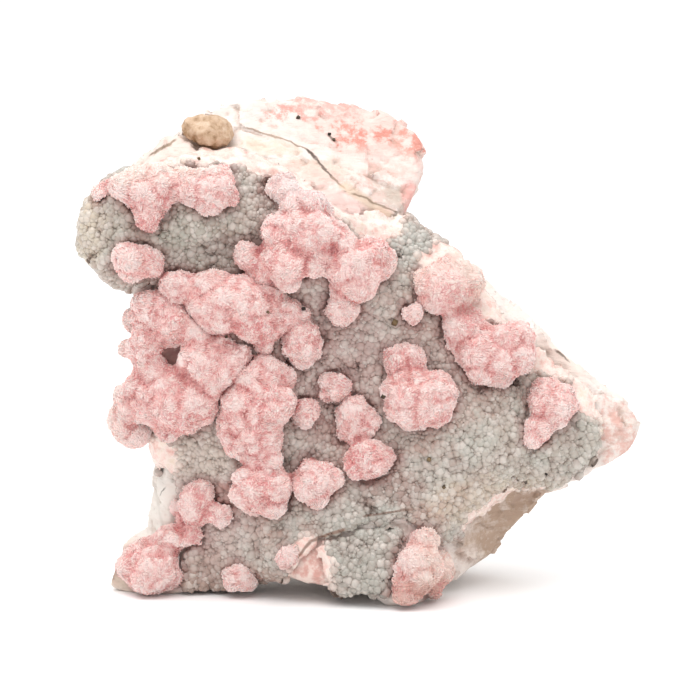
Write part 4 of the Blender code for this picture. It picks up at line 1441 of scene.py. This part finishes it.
@dataclass
class HostRock:
    """The slab of vein rock, with chipped faces and thin steps along its bands.

    Attributes:
        voxel: Edge of its even mesh.
        chip: Width of the chips on its faces.
        chip_depth: How far their faces tilt.
        chip_warp: How far the chips are pushed out of shape.
        step: Thickness of a band that breaks to a step.
        step_height: Height of such a step.
        rough: Size of the roughness.
        rough_height: Its height.
        band_normal: Direction across the bands.
        ball_shade: How far from a ball the rock gets painted shade.
    """

    voxel: float = 0.5
    chip: float = 5.0
    chip_depth: float = 0.75
    chip_warp: float = 1.5
    step: float = 1.3
    step_height: float = 0.16
    rough: float = 1.3
    rough_height: float = 0.3
    band_normal: tuple[float, float, float] = (0.36, -0.3, 0.88)
    ball_shade: float = 1.8

    def weathering(self, balls: Piece) -> Tree:
        """Lay out the relief of the broken rock.

        Args:
            balls: The pink balls, beside which it gets painted shade.

        Returns:
            The tree of the modifier that carves it.
        """
        tree, source, sink = new_modifier_tree("rock_weathering")
        place = add_node(tree, "GeometryNodeInputPosition")
        warped = wandered(tree, place, self.chip * MM, self.chip_warp * MM, centred=False)
        cells = add_node(tree, "ShaderNodeTexVoronoi", {"Vector": warped, "Scale": 1 / (self.chip * MM)})
        tilt = {0: cells.outputs["Color"], 1: (0.5,) * 3}
        tilt = add_node(tree, "ShaderNodeVectorMath", tilt, operation="SUBTRACT")
        away = {0: warped, 1: cells.outputs["Position"]}
        away = add_node(tree, "ShaderNodeVectorMath", away, operation="SUBTRACT")
        facet = add_node(tree, "ShaderNodeVectorMath", {0: away, 1: tilt}, operation="DOT_PRODUCT")
        facet = {0: facet.outputs["Value"], 1: 2 * self.chip_depth / self.chip}
        facet = add_node(tree, "ShaderNodeMath", facet, operation="MULTIPLY")
        across = {0: warped, 1: self.band_normal}
        across = add_node(tree, "ShaderNodeVectorMath", across, operation="DOT_PRODUCT").outputs["Value"]
        layers = add_node(tree, "ShaderNodeMath", {0: across, 1: 1 / (self.step * MM)}, operation="MULTIPLY")
        layer = add_node(tree, "ShaderNodeMath", {0: layers}, operation="FRACT")
        ends = {"Value": layer, "From Min": 0.0, "From Max": 0.35}
        ledge = add_node(tree, "ShaderNodeMapRange", ends, interpolation_type="SMOOTHSTEP")
        spread = {"Vector": place, "Scale": 1 / (self.rough * MM), "Detail": 4.0, "Roughness": 0.6}
        grain = add_node(tree, "ShaderNodeTexNoise", spread)
        rising = {0: grain, 1: self.rough_height * MM, 2: -(self.rough_height + self.step_height) * MM}
        height = add_node(tree, "ShaderNodeMath", rising, operation="MULTIPLY_ADD")
        rising = {0: ledge, 1: self.step_height * MM, 2: height}
        height = add_node(tree, "ShaderNodeMath", rising, operation="MULTIPLY_ADD")
        height = add_node(tree, "ShaderNodeMath", {0: height, 1: facet}, operation="ADD")
        rock = displaced(tree, source, height, floor=0.2)
        # Closeness to the balls, which the material darkens with painted shade.
        ends = {"Value": distance_to(tree, balls), "From Min": self.ball_shade * MM, "From Max": 0.3 * MM}
        near = add_node(tree, "ShaderNodeMapRange", ends)
        rock = marked(tree, rock, {Mark.RELIEF: crest_of(tree, 8, -0.35, 0.25), Mark.NEAR: near})
        tree.links.new(rock.outputs[0], sink.inputs[0])
        return tree

    def build(self, finish: BrokenVeinRock) -> None:
        """Dress the slab.

        Args:
            finish: The finish it gets.
        """
        balls = copy_of_balls("balls")
        piece = copy_of(["matrix"], "rock_slab")
        round_off(piece, self.voxel, 3)
        apply_modifier(piece, "NODES", node_group=self.weathering(balls))
        dress(piece, finish.material(), Slot.HOST_ROCK, "matrix", angle=50.0)
        bpy.data.objects.remove(balls)


@dataclass
class BrownPebble:
    """The brown pebble that is set in the top of the rock.

    Attributes:
        voxel: Edge of its even mesh.
        dent: Width of the dents in its rind.
        dent_depth: How deep they are.
    """

    voxel: float = 0.25
    dent: float = 3.2
    dent_depth: float = 0.8

    def build(self, finish: WornChert) -> None:
        """Dress the pebble.

        Args:
            finish: The finish it gets.
        """
        tree, source, sink = new_modifier_tree("pebble_wear")
        place = add_node(tree, "GeometryNodeInputPosition")
        spread = {"Vector": place, "Scale": 1 / (self.dent * MM), "Detail": 4.0}
        dents = add_node(tree, "ShaderNodeTexNoise", spread)
        ends = {"Value": dents, "From Min": 0.7, "From Max": 0.3, "To Max": -self.dent_depth * MM}
        worn = displaced(tree, source, add_node(tree, "ShaderNodeMapRange", ends))
        tree.links.new(worn.outputs[0], sink.inputs[0])
        piece = copy_of(["brown_clast"], "pebble")
        round_off(piece, self.voxel, 6)
        apply_modifier(piece, "NODES", node_group=tree)
        dress(piece, finish.material(), Slot.BROWN_ROCK, "brown_clast")


@dataclass
class SulphideGrains:
    """Tiny dark cubes of sulphide, on the quartz and between the balls.

    Attributes:
        places: (x, z) of each as seen from the front, and its size.
        sunk: Share of a cube that is in what carries it.
        worn_edge: Width of the bevel on a cube's edges, as a share of its size.
    """

    places: tuple[tuple[float, float, float], ...] = (
        (5.3, 47.9, 0.95),
        (32.3, 21.0, 1.0),
        (-10.6, 50.2, 0.6),
        (3.3, 34.8, 0.7),
        (11.4, 23.7, 0.7),
        (-11.9, 85.3, 0.65),
        (-6.2, 82.2, 0.5),
        (-5.4, 81.1, 0.5),
        (8.2, 47.4, 0.5),
        (13.9, 18.7, 0.6),
        (-24.0, 45.3, 0.5),
        (-16.6, 49.6, 0.45),
        (-28.9, 76.7, 0.45),
    )
    sunk: float = 0.3
    worn_edge: float = 0.14

    def build(self, finish: GrownSulphide) -> None:
        """Set the cubes on what the front shows at each place.

        Args:
            finish: The finish they get.
        """
        depsgraph = bpy.context.evaluated_depsgraph_get()
        trees = [BVHTree.FromObject(obj, depsgraph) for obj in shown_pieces() if obj.type == "MESH"]
        look = Studio().look()
        deselect_all()
        cubes = []
        for number, (x, z, size) in enumerate(self.places):
            start = Vector((x, 0.0, z)) * MM - look * START_OFF
            hits = [hit for hit in (tree.ray_cast(start, look) for tree in trees) if hit[0] is not None]
            if not hits:
                LOG.warning("no surface for the sulphide grain at %s, %s", x, z)
                continue
            point, normal, _, _ = min(hits, key=lambda hit: hit[3])
            middle = point + normal * (0.5 - self.sunk) * size * MM
            turn = (0.7 + 1.9 * number, 0.4 + 2.3 * number, 1.1 * number)
            bpy.ops.mesh.primitive_cube_add(size=size * MM, location=middle, rotation=turn)
            cubes.append(bpy.context.active_object)
            bpy.ops.object.mode_set(mode="EDIT")
            bpy.ops.mesh.select_all(action="SELECT")
            bpy.ops.mesh.bevel(offset=self.worn_edge * size * MM, segments=1)
            bpy.ops.object.mode_set(mode="OBJECT")
        for cube in cubes:
            cube.select_set(True)
        bpy.ops.object.join()
        bpy.ops.object.transform_apply(location=True, rotation=True, scale=True)
        piece = bpy.context.active_object
        piece.name = piece.data.name = "sulphide_grains"
        dress(piece, finish.material(), Slot.HOST_ROCK, angle=20.0)


@dataclass
class Studio:
    """The white paper, the lights and the camera.

    Attributes:
        target: What the camera looks at.
        distance: How far off it is.
        elevation: Its height above the horizon, in radians.
        lens: Its focal length.
        floor_size: Side of the paper, in metres.
        lamp_place: Where the softbox hangs, in metres.
        lamp_size: Its two sides, in metres.
        lamp_power: Its power, in watts.
        dome: Strength of the white dome at the horizon and overhead.
        backdrop: Strength of the dome behind the specimen.
    """

    target: Triple = (-2.5, 0.0, 43.0)
    distance: float = 420.0
    elevation: float = math.radians(8)
    lens: float = 120.0
    floor_size: float = 6.0
    lamp_place: Triple = (-0.12, -0.25, 0.75)
    lamp_size: tuple[float, float] = (0.9, 0.6)
    lamp_power: float = 3.3
    dome: tuple[float, float] = (0.3, 1.45)
    backdrop: float = 1.1

    def look(self) -> Vector:
        """Give the direction in which the camera looks."""
        return Vector((0.0, math.cos(self.elevation), -math.sin(self.elevation)))

    def build(self, finish: StudioPaper) -> None:
        """Set up the studio.

        Args:
            finish: The finish of the paper.
        """
        deselect_all()
        bpy.ops.mesh.primitive_plane_add(size=self.floor_size)
        floor = bpy.context.active_object
        floor.name = "studio_floor"
        floor.data.materials.append(finish.material())
        floor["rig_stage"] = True

        place = (Vector(self.target) - self.look() * self.distance) * MM
        bpy.ops.object.camera_add(location=place, rotation=(math.pi / 2 - self.elevation, 0.0, 0.0))
        camera = bpy.context.active_object
        camera.data.lens = self.lens
        camera.data.sensor_width = 36.0
        camera.data.clip_start = 0.01
        bpy.context.scene.camera = camera

        bpy.ops.object.light_add(type="AREA", location=self.lamp_place)
        lamp = bpy.context.active_object
        lamp.name = "overhead_softbox"
        lamp.data.shape = "RECTANGLE"
        lamp.data.size, lamp.data.size_y = self.lamp_size
        lamp.data.energy = self.lamp_power
        to_target = Vector(self.target) * MM - lamp.location
        lamp.rotation_euler = to_target.to_track_quat("-Z", "Y").to_euler()

        world = bpy.data.worlds.new("white_studio")
        bpy.context.scene.world = world
        world.use_nodes = True
        tree = world.node_tree
        tree.nodes.clear()
        sky = add_node(tree, "ShaderNodeTexCoord").outputs["Generated"]
        height = add_node(tree, "ShaderNodeSeparateXYZ", {0: sky}).outputs["Z"]
        horizon, overhead = self.dome
        ends = {"Value": height, "From Max": 0.8, "To Min": horizon, "To Max": overhead}
        dome = add_node(tree, "ShaderNodeMapRange", ends)
        seen = add_node(tree, "ShaderNodeLightPath").outputs["Is Camera Ray"]
        strength = {"Factor": seen, "A": dome, "B": self.backdrop}
        strength = add_node(tree, "ShaderNodeMix", strength, data_type="FLOAT")
        light = add_node(tree, "ShaderNodeBackground", {"Color": (1, 1, 1, 1), "Strength": strength})
        add_node(tree, "ShaderNodeOutputWorld", {"Surface": light})
        bpy.context.scene.view_settings.view_transform = "Standard"


def main() -> None:
    """Build the specimen and its studio."""
    logging.basicConfig(level=logging.INFO, format="%(name)s %(message)s")
    Studio().build(StudioPaper())
    HostRock().build(BrokenVeinRock())
    BrownPebble().build(WornChert())
    QuartzDruse().build(DrusyQuartz())
    RhodochrositeBalls().build(GrownRhodochrosite())
    SulphideGrains().build(GrownSulphide())


if __name__ == "__main__":
    main()
